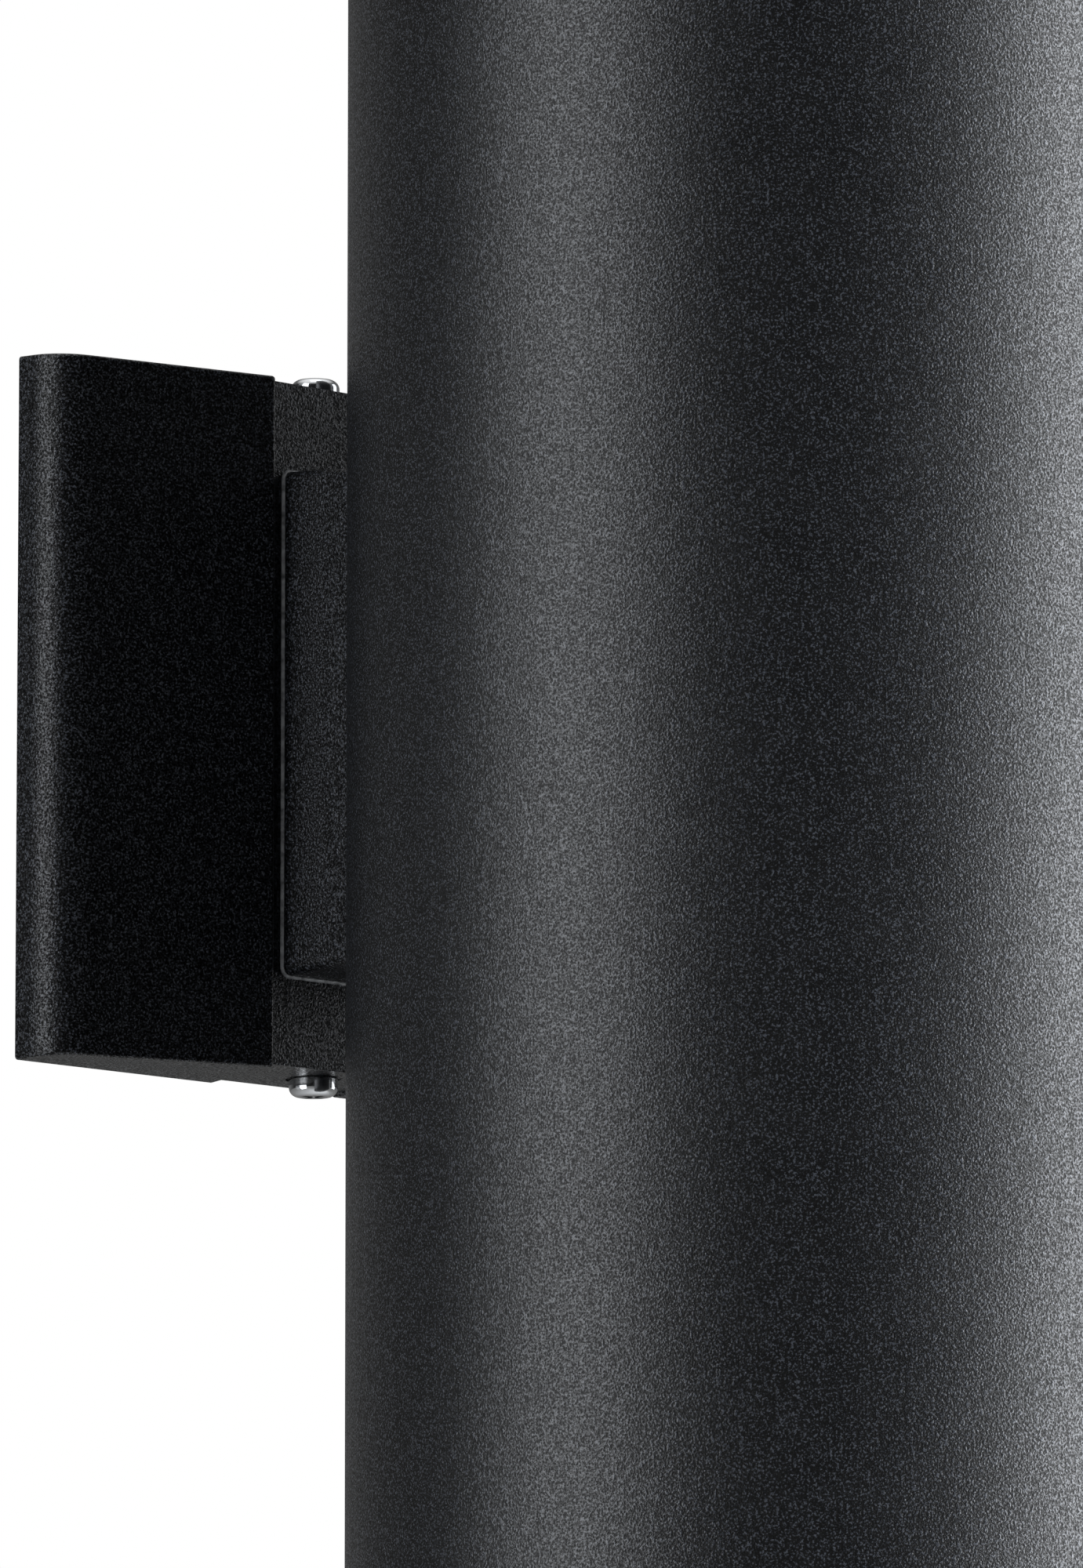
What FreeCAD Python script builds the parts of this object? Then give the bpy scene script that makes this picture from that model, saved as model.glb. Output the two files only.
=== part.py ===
import FreeCAD, Part
import math
import os

# Tube wall light: a square cast canopy on the wall, a short cast arm, and an upright
# aluminium tube that holds one lamp facing up and one facing down.
# Frame: millimetres, +Z up, the wall is the plane y = 0, the light stands out towards -Y,
# and the origin is the middle of the canopy on the wall.

V = FreeCAD.Vector
ORIGIN = V(0, 0, 0)
X_AXIS = V(1, 0, 0)
Y_AXIS = V(0, 1, 0)
Z_AXIS = V(0, 0, 1)

# ---- driving dimensions, millimetres and degrees ----

# Fits shared by several pieces
seat_gap = 0.05           # between a curved seat and what lies on it
running_gap = 0.3         # between bodies that move past each other
thread_gap = 0.05         # radial, between a screw and its tapped hole
hole_gap = 0.25           # radial, between a screw and its clearance hole
sheet_bend = 1.5          # inside bend radius of the steel sheet parts
screw_edge = 0.3          # rounding under a screw's head
ring_gap = 8.0            # opening of the split rings
overcut = 1.0             # how far cutting solids run past the faces that they cut

# Canopy
canopy_side = 114.3       # width and height at the wall
canopy_wall = 2.0
canopy_corner = 7.5       # upright corner between side and wing
canopy_edge = 0.6         # rounded edges of the top, the bottom and the crests
side_draft = 1.5
end_draft = 1.9
wing_slope = 14.0         # lean of the two front wings to the wall
crest_reach = 19.4        # wall to the crest of the wings
ridge_round = 20.0
band_half_front = 17.6    # half width of the sunk middle band at the crest
band_half_back = 13.0     # half width of the band at the wall
band_step = 1.2           # crest to the flat front of the band
band_inset = 0.65         # how far the band lies below the top and bottom faces
rib_thickness = 1.6
rib_back = 6.0            # wall to the back edges of the ribs
rib_spread = 42.0         # height of the two ribs behind each wing
gasket_thickness = 0.5
gasket_inset = 0.8
gasket_width = 2.2

# Wall strap
strap_thickness = 2.0
strap_width = 26.0
ear_reach = 16.0          # wall to the ends of the bent ears
ear_collar_radius = 3.3
ear_collar_height = 1.5
strap_centre_hole = 5.2
slot_half_width = 2.5
slot_length = 14.5
slot_spacing = 79.4       # centre to centre, takes 70 mm and 89 mm box screws

# Canopy screws, M4 pan head
mount_screw_reach = 10.0  # wall to the screws' axis
mount_thread_radius = 2.0
mount_head_radius = 4.0
mount_head_height = 3.1
mount_shank_length = 9.0
spot_depth = 0.2
spot_margin = 0.6
recess_width = 0.9
recess_span = 4.4
recess_depth = 1.7

# Arm
arm_half_width = 15.0
arm_half_height = 41.3
arm_draft_width = 2.0
arm_draft_height = 3.7
arm_edge = 1.5
arm_wall = 3.0
arm_end_wall = 5.0
arm_boss_radius = 5.2
arm_web = 2.4
arm_screw_spread = 30.0   # height of the screws from the canopy
tube_bolt_spread = 16.0   # height of the bolts from the tube

# M5 screws of the arm and the tube
bolt_radius = 2.5
bolt_head_radius = 4.6
bolt_head_height = 3.3
bolt_grip = 10.0          # length of thread in the arm
hex_radius = 1.6
hex_depth = 1.8

# Tube
overall_reach = 203.2     # wall to the front of the tube
tube_diameter = 152.4
tube_wall = 3.0
tube_length = 457.2
tube_edge = 0.6
wire_hole_radius = 6.2

# Saddle and socket bridge inside the tube
saddle_half_width = 22.0
saddle_half_height = 28.0
saddle_middle = 5.2       # thickness at the middle
bridge_sheet = 1.5
bridge_half_width = 24.0
bridge_half_height = 38.0
bridge_overhang = 28.0    # past the tube's axis
bridge_lip = 8.0
bridge_corner = 10.0
shelf_wire_hole = 9.0

# Lamp sockets
socket_base_radius = 23.0
socket_base_height = 11.0
socket_neck_radius = 19.5
socket_height = 46.0
socket_floor = 14.0
socket_bore_radius = 14.6
socket_pocket_radius = 8.0
socket_pocket_depth = 8.0
socket_round = 2.0
socket_screw_spread = 16.0
socket_screw_radius = 1.75
socket_screw_grip = 7.0
socket_screw_head = 3.2
socket_screw_head_height = 2.2
shell_sheet = 0.6
shell_length = 28.0
contact_sheet = 0.6
contact_half_width = 3.0
contact_run = 9.0
contact_rise = 3.0

# Reflector lamps
lamp_gap = 0.2            # between the lamp's tip and the contact
lamp_length = 133.4
lamp_dome = 5.35          # rise of the domed front
lamp_diameter = 121.0
lamp_glass = 2.2
lamp_tip_radius = 4.3
lamp_tip_height = 1.2
lamp_cone_radius = 9.0
lamp_cone_height = 5.4
lamp_base_radius = 12.9
lamp_thread_pitch = 3.6
lamp_thread_depth = 0.5
lamp_thread_turns = 5
lamp_base_length = 27.0
lamp_collar_radius = 18.0
lamp_collar_height = 4.0
lamp_collar_round = 1.0
lamp_neck_radius = 20.5
lamp_neck_height = 46.0
lamp_bowl_start = 58.0
lamp_bowl_radius = 30.0
lamp_rim_height = 11.0
lamp_lens_edge = 3.0
capsule_radius = 5.5
capsule_length = 34.0
capsule_foot = 8.0
capsule_foot_radius = 3.3
capsule_round = 0.5
capsule_tip_round = 4.9
bowl_floor_radius = 8.0

# Pull-out trims at the tube's ends
trim_recess = 9.0         # tube's end to the top of the trim
trim_height = 30.0
trim_gap = 0.5            # radial, trim to tube
trim_flange = 4.0
trim_waist = 3.0          # radial depth of the waist that holds the clips
baffle_steps = 6
baffle_tread = 0.8
baffle_mouth_wall = 9.7    # radial, the trim's outside to its mouth
lens_seat_wall = 2.3      # radial, the trim's outside to the lens seat
trim_edge = 0.5
lens_thickness = 4.0
lens_round = 0.4
lens_edge_gap = 0.4
lens_ledge = 3.0
lens_gasket = 1.5
retainer_thickness = 1.4
retainer_depth = 0.8      # how deep rings sit in their grooves
retainer_width = 3.6
stop_ring_thickness = 2.0
stop_ring_width = 5.0
clip_count = 3
clip_half_width = 4.0
clip_sheet = 0.4
clip_height = 13.0

# Wiring
bushing_wall = 1.6
bushing_flange = 1.4
bushing_lip = 2.0
bushing_edge = 0.4
canopy_hole_radius = 8.0
lead_radius = 1.1
ground_lead_radius = 0.9
lead_spacing = 2.1        # of each lead from the middle of the bushings
lead_plane = 7.5          # wall to the leads in the canopy
lead_bend = 8.0
lead_turn = 12.0
lead_rise = 6.0
connector_offset = 30.0
connector_mouth = 12.0
connector_length = 24.0
connector_radius = 5.4
connector_tip_radius = 3.6
connector_wall = 1.3
connector_edge = 0.3
connector_tip_round = 1.0
connector_fins = 8
connector_fin_reach = 5.2
connector_fin_thickness = 0.9
connector_fin_length = 18.0
connector_lead_spread = 1.4
connector_grip = 8.0
ground_screw_drop = 18.0
ground_screw_radius = 2.4
ground_head_radius = 3.9
ground_head_height = 2.4
ground_bend = 2.6
lug_sheet = 0.8
lug_barrel_length = 4.0

# ---- places worked out from the driving dimensions ----

canopy_half = canopy_side / 2
tube_radius = tube_diameter / 2
tube_inner = tube_radius - tube_wall
tube_axis_y = -(overall_reach - tube_radius)
tube_half = tube_length / 2
tube_back_y = tube_axis_y + tube_radius
tube_inner_back_y = tube_axis_y + tube_inner
wing_rise = math.tan(math.radians(wing_slope))
end_lean = math.tan(math.radians(end_draft))
side_lean = math.tan(math.radians(side_draft))
ridge_reach = crest_reach + band_half_front * wing_rise
plateau_y = -(crest_reach - band_step)
plateau_inner_y = plateau_y + canopy_wall
web_back_y = tube_inner_back_y - saddle_middle
web_front_y = web_back_y - bridge_sheet
shelf_top = bridge_half_height
shelf_bottom = bridge_half_height - bridge_sheet
socket_base_z = shelf_top
contact_top = socket_floor + contact_sheet + contact_rise
lamp_tip_z = socket_base_z + contact_top + lamp_gap
trim_bottom_z = tube_half - trim_recess - trim_height
trim_outer = tube_inner - trim_gap
waist_radius = trim_outer - trim_waist
arm_end_y = tube_back_y + arm_end_wall
lens_seat_radius = trim_outer - lens_seat_wall
lens_radius = lens_seat_radius - lens_edge_gap
baffle_mouth_radius = trim_outer - baffle_mouth_wall
retainer_low = trim_height - 2 * retainer_thickness
lamp_rim_z = lamp_length - lamp_dome - lamp_lens_edge - seat_gap - lamp_rim_height
lamp_bowl_rise = lamp_rim_z - lamp_bowl_start
lamp_collar_top = lamp_base_length + 2 * lamp_collar_height


def end_height(reach, inset=0.0):
    """Half height of the canopy's drafted top face at a distance from the wall."""
    return canopy_half - inset - reach * end_lean


# ---- small helpers for profiles and solids ----

def on_plan(x, y):
    return V(x, y, 0)


def on_side(y, z):
    return V(0, y, z)


def on_radius(r, z):
    return V(r, 0, z)


def tangent_arc(before, corner, after, radius):
    """Start, middle and end of the arc that rounds a corner."""
    back = (before - corner).normalize()
    ahead = (after - corner).normalize()
    half_angle = back.getAngle(ahead) / 2
    reach = radius / math.tan(half_angle)
    inward = (back + ahead).normalize()
    middle = corner + inward * (radius / math.sin(half_angle) - radius)
    return corner + back * reach, middle, corner + ahead * reach


def rounded_wire(corners, place):
    """Closed wire through corners (u, v, radius), each radius a tangent arc."""
    points = [place(u, v) for u, v, _ in corners]
    arcs = []
    for index, (_, _, radius) in enumerate(corners):
        following = points[(index + 1) % len(points)]
        if radius > 0:
            arcs.append(tangent_arc(points[index - 1], points[index], following, radius))
        else:
            arcs.append((points[index], points[index], points[index]))
    edges = []
    for index, (start, middle, end) in enumerate(arcs):
        if corners[index][2] > 0:
            edges.append(Part.Arc(start, middle, end).toShape())
        edges.append(Part.LineSegment(end, arcs[(index + 1) % len(arcs)][0]).toShape())
    return Part.Wire(edges)


def prism(corners, place, start, length):
    """Extrude a rounded outline, moved by start, along length."""
    face = Part.Face(rounded_wire(corners, place))
    face.translate(start)
    return face.extrude(length)


def turned(corners):
    """Revolve a rounded outline of (radius, height, round) about the Z axis."""
    return Part.Face(rounded_wire(corners, on_radius)).revolve(ORIGIN, Z_AXIS, 360)


def block(x0, x1, y0, y1, z0, z1):
    return Part.makeBox(x1 - x0, y1 - y0, z1 - z0, V(x0, y0, z0))


def rod(radius, start, along, length):
    return Part.makeCylinder(radius, length, start, along)


def holes_along_y(radius, heights, y0, y1, x=0.0):
    """Rods along Y between y0 and y1 at the given heights, for cutting holes."""
    return [rod(radius, V(x, y0, height), Y_AXIS, y1 - y0) for height in heights]


def to_tube_axis(shape):
    return shape.translated(V(0, tube_axis_y, 0))


def mirrored(shape):
    """The lower copy of an upper piece."""
    return shape.mirror(ORIGIN, Z_AXIS)


def rectangle(half_u, half_v, radius):
    return [(half_u, half_v, radius), (-half_u, half_v, radius),
            (-half_u, -half_v, radius), (half_u, -half_v, radius)]


def cross_recess(top):
    """Tapering cross for a screwdriver, cut downwards from the height top."""
    arms = []
    for angle in (0, 90):
        slot = block(-recess_span / 2, recess_span / 2, -recess_width / 2, recess_width / 2,
                     top - recess_depth, top + overcut)
        arms.append(slot.rotated(ORIGIN, Z_AXIS, angle))
    middle = Part.makeCone(recess_width / 2, recess_width, recess_depth, V(0, 0, top - recess_depth))
    return arms[0].fuse([arms[1], middle])


def pan_screw(thread, shank, head, height):
    """Pan head screw along Z: its seat is at z = 0, its head above."""
    outline = [(0, -shank, 0), (thread, -shank, thread / 4), (thread, 0, 0), (head, 0, screw_edge),
               (head, height, height / 2), (0, height, 0)]
    return turned(outline)


def socket_head(screw, height):
    """Cut a hexagon key socket into the top of a screw."""
    first = V(hex_radius, 0, height - hex_depth)
    corners = [FreeCAD.Rotation(Z_AXIS, 60 * k).multVec(first) for k in range(7)]
    key = Part.Face(Part.makePolygon(corners)).extrude(V(0, 0, hex_depth + overcut))
    return screw.cut(key)


def pointing(shape, direction):
    """Turn a piece built along +Z so that it points along direction."""
    turn = FreeCAD.Placement(ORIGIN, FreeCAD.Rotation(Z_AXIS, direction))
    return shape.transformed(turn.toMatrix())


# ---- canopy, gasket and strap ----

def canopy_plan(inset, back_y):
    """Plan outline of the canopy, moved inwards by inset, from back_y to the ridge."""
    half = canopy_half - inset
    lean = wing_slope_length(inset)
    corner_y = -(ridge_reach - lean - half * wing_rise) / (1 - side_lean * wing_rise)
    corner_x = half + corner_y * side_lean
    radius = max(canopy_corner - inset, canopy_edge)
    back_half = half + back_y * side_lean
    return [(-back_half, back_y, 0), (-corner_x, corner_y, radius), (0, -(ridge_reach - lean), ridge_round),
            (corner_x, corner_y, radius), (back_half, back_y, 0)]


def wing_slope_length(inset):
    """How far the ridge moves back when the wings move inwards by inset."""
    return inset / math.cos(math.radians(wing_slope))


def canopy_side_profile(inset, front_y, back_y):
    """Side outline between the drafted top and bottom faces, moved inwards by inset."""
    back = end_height(-back_y, inset)
    front = end_height(-front_y, inset)
    return [(back_y, back, 0), (front_y, front, 0), (front_y, -front, 0), (back_y, -back, 0)]


def canopy_form(inset, back_y):
    """Drafted canopy solid between its plan and its side outline."""
    tall = V(0, 0, 2 * canopy_side)
    plan = prism(canopy_plan(inset, back_y), on_plan, V(0, 0, -canopy_side), tall)
    wide = V(2 * canopy_side, 0, 0)
    profile = canopy_side_profile(inset, -2 * ridge_reach, back_y)
    side = prism(profile, on_side, V(-canopy_side, 0, 0), wide)
    return plan.common(side)


def band_core(inset, half_width):
    """What the sunk middle band leaves standing, moved inwards by inset."""
    profile = canopy_side_profile(band_inset + inset, plateau_y + inset, overcut)
    return prism(profile, on_side, V(-half_width, 0, 0), V(2 * half_width, 0, 0))


def band_slab():
    """Plan of the band, wider at the crest than at the wall, over the whole height."""
    corners = [(-band_half_back, overcut, 0), (-band_half_front, plateau_y, 0),
               (-band_half_front, -2 * ridge_reach, 0), (band_half_front, -2 * ridge_reach, 0),
               (band_half_front, plateau_y, 0), (band_half_back, overcut, 0)]
    return prism(corners, on_plan, V(0, 0, -canopy_side), V(0, 0, 2 * canopy_side))


def round_front_edges(form):
    """Round the long edges of the top and bottom faces and the upright crests of the wings."""
    chosen = []
    for edge in form.Edges:
        middle = edge.valueAt((edge.FirstParameter + edge.LastParameter) / 2)
        on_end = abs(abs(middle.z) - end_height(-middle.y)) < canopy_edge / 4
        ahead_of_wall = middle.y < -gasket_thickness - canopy_edge / 4
        box = edge.BoundBox
        at_crest = box.ZLength > canopy_half and box.YMax < plateau_y - band_step / 2
        on_band_side = abs(abs(edge.CenterOfMass.x) - band_half_front) < canopy_edge
        if (on_end and ahead_of_wall) or (at_crest and on_band_side):
            chosen.append(edge)
    return form.makeFillet(canopy_edge, chosen)


def canopy_ribs(cavity):
    """Two cast ribs behind each wing."""
    ribs = []
    for height in (-rib_spread, rib_spread):
        slab = block(-canopy_side, canopy_side, -crest_reach, -rib_back,
                     height - rib_thickness / 2, height + rib_thickness / 2)
        middle = block(-band_half_front - canopy_wall, band_half_front + canopy_wall, -crest_reach, 0,
                       -canopy_side, canopy_side)
        outer = slab.cut(middle)
        near_front = cavity.cut(cavity.translated(V(0, canopy_wall * 2, 0)))
        ribs.append(outer.common(near_front))
    return ribs


def make_canopy_cover():
    form = canopy_form(0, -gasket_thickness)
    form = form.cut(band_slab().cut(band_core(0, band_half_front + overcut)))
    form = round_front_edges(form)
    inner_width = band_half_front + canopy_wall
    inner_slab = block(-inner_width, inner_width, -2 * ridge_reach, overcut, -canopy_side, canopy_side)
    cavity = canopy_form(canopy_wall, overcut)
    cavity = cavity.cut(inner_slab.cut(band_core(canopy_wall, 2 * inner_width)))
    form = form.cut(cavity)
    form = form.fuse(canopy_ribs(cavity)).removeSplitter()
    cuts = holes_along_y(bolt_radius + hole_gap, (-arm_screw_spread, arm_screw_spread),
                         -crest_reach, -crest_reach / 2)
    cuts += holes_along_y(canopy_hole_radius, (0,), -crest_reach, -crest_reach / 2)
    for side in (-1, 1):
        middle = V(0, -mount_screw_reach, 0)
        cuts.append(rod(mount_thread_radius + hole_gap, middle, Z_AXIS * side, canopy_side))
        spot = middle + Z_AXIS * (side * mount_seat_height())
        cuts.append(rod(mount_head_radius + spot_margin, spot, Z_AXIS * side, canopy_wall * 2))
    return form.cut(cuts)


def mount_seat_height():
    """Height of the spot faces that the canopy screws seat on."""
    return end_height(mount_screw_reach, band_inset) - spot_depth


def make_wall_gasket():
    outer = canopy_half - gasket_inset
    inner = outer - gasket_width
    frame = prism(rectangle(outer, outer, canopy_edge), lambda u, v: V(u, 0, v), ORIGIN,
                  V(0, -gasket_thickness, 0))
    window = prism(rectangle(inner, inner, canopy_edge), lambda u, v: V(u, overcut, v), ORIGIN,
                   V(0, -gasket_thickness - 2 * overcut, 0))
    return frame.cut(window)


def ear_top():
    """Outer height of the strap's ears, just inside the canopy's top wall."""
    return end_height(ear_reach, band_inset) - canopy_wall - running_gap


def upright_slot(height, y0, y1):
    """Solids that cut one of the strap's round-ended slots."""
    straight = slot_length / 2 - slot_half_width
    ends = holes_along_y(slot_half_width, (height - straight, height + straight), y0, y1)
    middle = block(-slot_half_width, slot_half_width, y0, y1, height - straight, height + straight)
    return ends + [middle]


def make_wall_strap():
    top = ear_top()
    inside = top - strap_thickness
    bend = sheet_bend + strap_thickness
    profile = [(0, top, bend), (-ear_reach, top, 0), (-ear_reach, inside, 0),
               (-strap_thickness, inside, sheet_bend), (-strap_thickness, -inside, sheet_bend),
               (-ear_reach, -inside, 0), (-ear_reach, -top, 0), (0, -top, bend)]
    half = strap_width / 2
    strap = prism(profile, on_side, V(-half, 0, 0), V(strap_width, 0, 0))
    tapped = mount_thread_radius + thread_gap
    for side in (-1, 1):
        root = V(0, -mount_screw_reach, side * (inside - ear_collar_height))
        collar = rod(ear_collar_radius, root, Z_AXIS * side, ear_collar_height + strap_thickness / 2)
        strap = strap.fuse(collar)
    through = -strap_thickness - overcut
    cuts = [rod(tapped, V(0, -mount_screw_reach, -canopy_side), Z_AXIS, 2 * canopy_side)]
    cuts += holes_along_y(strap_centre_hole, (0,), through, overcut)
    cuts += holes_along_y(ground_screw_radius + thread_gap, (-ground_screw_drop,), through, overcut)
    for side in (-1, 1):
        cuts += upright_slot(side * slot_spacing / 2, through, overcut)
    return strap.cut(cuts).removeSplitter()


def make_mount_screw():
    """Upper canopy screw, along Z through the canopy and the strap's ear."""
    screw = pan_screw(mount_thread_radius, mount_shank_length, mount_head_radius, mount_head_height)
    screw = screw.cut(cross_recess(mount_head_height))
    return screw.translated(V(0, -mount_screw_reach, mount_seat_height() + seat_gap))


# ---- arm and its fasteners ----

def arm_outline(inset, y):
    """Rounded section of the drafted arm at y, moved inwards by inset."""
    along = plateau_y - y
    half_width = arm_half_width - inset - along * math.tan(math.radians(arm_draft_width))
    half_height = arm_half_height - inset - along * math.tan(math.radians(arm_draft_height))
    return rounded_wire(rectangle(half_width, half_height, arm_edge), lambda u, v: V(u, y, v))


def make_arm_block():
    past_tube = tube_back_y - 2 * arm_wall
    outer = Part.makeLoft([arm_outline(0, plateau_y), arm_outline(0, past_tube)], True, True)
    inner_sections = [arm_outline(arm_wall, plateau_y + overcut), arm_outline(arm_wall, arm_end_y)]
    arm = outer.cut(Part.makeLoft(inner_sections, True, True))
    root_y = arm_end_y - overcut
    grip_y = tube_back_y + bolt_grip
    canopy_heights = (-arm_screw_spread, arm_screw_spread)
    tube_heights = (-tube_bolt_spread, tube_bolt_spread)
    posts = holes_along_y(arm_boss_radius, canopy_heights, root_y, plateau_y)
    posts += holes_along_y(arm_boss_radius, tube_heights, root_y, grip_y)
    for height in canopy_heights:
        posts.append(block(-arm_half_width + arm_wall, arm_half_width - arm_wall, root_y,
                           plateau_y - arm_wall, height - arm_web / 2, height + arm_web / 2))
    inside = [post.common(outer) for post in posts]
    arm = arm.fuse(inside)
    tapped = bolt_radius + thread_gap
    cuts = holes_along_y(tapped, canopy_heights, plateau_y - bolt_grip - overcut, plateau_y + overcut)
    cuts += holes_along_y(tapped, tube_heights, past_tube - overcut, grip_y + overcut)
    cuts += holes_along_y(wire_hole_radius, (0,), past_tube - overcut, arm_end_y + overcut)
    tube_room = rod(tube_radius + seat_gap, V(0, tube_axis_y, -tube_half), Z_AXIS, tube_length)
    return arm.cut(cuts + [tube_room]).removeSplitter()


def hex_bolt(shank, direction):
    """M5 screw with a key socket, its seat at the origin and its head along direction."""
    screw = pan_screw(bolt_radius, shank, bolt_head_radius, bolt_head_height)
    return pointing(socket_head(screw, bolt_head_height), direction)


def make_arm_screws():
    """Two screws from inside the canopy into the arm."""
    screw = hex_bolt(canopy_wall + bolt_grip, Y_AXIS)
    places = [V(0, plateau_inner_y, height) for height in (-arm_screw_spread, arm_screw_spread)]
    return Part.makeCompound([screw.translated(place) for place in places])


def make_saddle_bolts():
    """Two bolts from inside the tube, through bridge, saddle and tube, into the arm."""
    screw = hex_bolt(bridge_sheet + saddle_middle + tube_wall + bolt_grip - overcut, -Y_AXIS)
    places = [V(0, web_front_y, height) for height in (-tube_bolt_spread, tube_bolt_spread)]
    return Part.makeCompound([screw.translated(place) for place in places])


# ---- tube and what it holds at its back ----

def stop_ring_bottom():
    return trim_bottom_z - running_gap - stop_ring_thickness


def back_holes(y0, y1):
    """Cutting rods for the two bolts and the leads behind the tube."""
    cuts = holes_along_y(bolt_radius + hole_gap, (-tube_bolt_spread, tube_bolt_spread), y0, y1)
    return cuts + holes_along_y(wire_hole_radius, (0,), y0, y1)


def make_tube_housing():
    outline = [(tube_inner, -tube_half, tube_edge), (tube_radius, -tube_half, tube_edge),
               (tube_radius, tube_half, tube_edge), (tube_inner, tube_half, tube_edge)]
    tube = turned(outline)
    low = stop_ring_bottom() - seat_gap
    high = low + stop_ring_thickness + 2 * seat_gap
    depth = tube_inner + retainer_depth + seat_gap
    groove = turned([(tube_inner - overcut, low, 0), (depth, low, 0),
                     (depth, high, 0), (tube_inner - overcut, high, 0)])
    tube = to_tube_axis(tube.cut([groove, mirrored(groove)]))
    return tube.cut(back_holes(tube_inner_back_y - tube_wall, tube_back_y + overcut))


def make_tube_saddle():
    slab = block(-saddle_half_width, saddle_half_width, web_back_y, tube_back_y,
                 -saddle_half_height, saddle_half_height)
    curve = rod(tube_inner - seat_gap, V(0, tube_axis_y, -tube_half), Z_AXIS, tube_length)
    return slab.common(curve).cut(back_holes(web_front_y, tube_back_y))


def make_socket_bridge():
    """Bent sheet with a web on the saddle and two shelves that carry the sockets."""
    front = tube_axis_y - bridge_overhang
    bend = sheet_bend + bridge_sheet
    lip = shelf_top - bridge_lip
    profile = [(front, lip, 0), (front, shelf_top, bend), (web_back_y, shelf_top, bend),
               (web_back_y, -shelf_top, bend), (front, -shelf_top, bend), (front, -lip, 0),
               (front + bridge_sheet, -lip, 0), (front + bridge_sheet, -shelf_bottom, sheet_bend),
               (web_front_y, -shelf_bottom, sheet_bend), (web_front_y, shelf_bottom, sheet_bend),
               (front + bridge_sheet, shelf_bottom, sheet_bend), (front + bridge_sheet, lip, 0)]
    bridge = prism(profile, on_side, V(-bridge_half_width, 0, 0), V(2 * bridge_half_width, 0, 0))
    back = web_back_y + overcut
    near = web_front_y - overcut
    plan = [(-bridge_half_width, back, 0), (-bridge_half_width, front - overcut, bridge_corner),
            (bridge_half_width, front - overcut, bridge_corner), (bridge_half_width, back, 0)]
    bridge = bridge.common(prism(plan, on_plan, V(0, 0, -tube_half), V(0, 0, tube_length)))
    cuts = back_holes(near, back)
    cuts += holes_along_y(ground_screw_radius + thread_gap, (0,), near, back, ground_screw_x())
    screw_hole = socket_screw_radius + hole_gap
    for x, radius in ((0, shelf_wire_hole), (-socket_screw_spread, screw_hole),
                      (socket_screw_spread, screw_hole)):
        cuts.append(rod(radius, V(x, tube_axis_y, -tube_half), Z_AXIS, tube_length))
    return bridge.cut(cuts)


# ---- sockets, built for the upper side ----

def make_socket_body():
    """Glazed porcelain body: wide foot, neck, bore above, wiring pocket below."""
    outline = [(socket_pocket_radius, 0, 0), (socket_base_radius, 0, socket_round / 2),
               (socket_base_radius, socket_base_height, socket_round),
               (socket_neck_radius, socket_base_height + socket_round * 2, socket_round),
               (socket_neck_radius, socket_height, socket_round),
               (socket_bore_radius, socket_height, socket_round / 2),
               (socket_bore_radius, socket_floor, 0), (0, socket_floor, 0), (0, socket_pocket_depth, 0),
               (socket_pocket_radius, socket_pocket_depth, socket_round / 2)]
    body = turned(outline)
    drill = socket_screw_radius + thread_gap
    depth = socket_screw_grip + overcut
    cuts = []
    for x in (-socket_screw_spread, socket_screw_spread):
        cuts.append(rod(drill, V(x, 0, -overcut), Z_AXIS, depth + overcut))
    return to_tube_axis(body.cut(cuts)).translated(V(0, 0, socket_base_z))


def make_socket_shell():
    """Brass screw shell that lines the socket's bore."""
    outer = socket_bore_radius - seat_gap
    inner = outer - shell_sheet
    low = socket_floor + seat_gap
    outline = [(outer - 2 * shell_sheet, low, 0), (outer, low, shell_sheet), (outer, low + shell_length, 0),
               (inner, low + shell_length, 0), (inner, low + shell_sheet, 0),
               (outer - 2 * shell_sheet, low + shell_sheet, 0)]
    return to_tube_axis(turned(outline)).translated(V(0, 0, socket_base_z))


def make_socket_contact():
    """Sprung tongue on the socket's floor that presses on the lamp's tip."""
    low = socket_floor
    high = low + contact_rise
    sheet = contact_sheet
    foot = contact_run / 3
    profile = [(-contact_run, low, 0), (-foot, low, sheet), (0, high, sheet), (foot, high, 0),
               (foot, high + sheet, 0), (-sheet / 2, high + sheet, sheet),
               (-foot - sheet / 2, low + sheet, sheet), (-contact_run, low + sheet, 0)]
    across = V(0, 2 * contact_half_width, 0)
    strip = prism(profile, on_radius, V(0, -contact_half_width, 0), across)
    return to_tube_axis(strip).translated(V(0, 0, socket_base_z))


def make_socket_screws():
    """Screws from below each shelf into the sockets' feet."""
    shank = bridge_sheet + socket_screw_grip
    screw = pan_screw(socket_screw_radius, shank, socket_screw_head, socket_screw_head_height)
    screw = pointing(screw, -Z_AXIS)
    places = [V(x, tube_axis_y, shelf_bottom) for x in (-socket_screw_spread, socket_screw_spread)]
    upper = [screw.translated(place) for place in places]
    return Part.makeCompound(upper + [mirrored(piece) for piece in upper])


# ---- reflector lamp, built for the upper side from its tip ----

def at_lamp(shape):
    return to_tube_axis(shape).translated(V(0, 0, lamp_tip_z))


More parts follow.
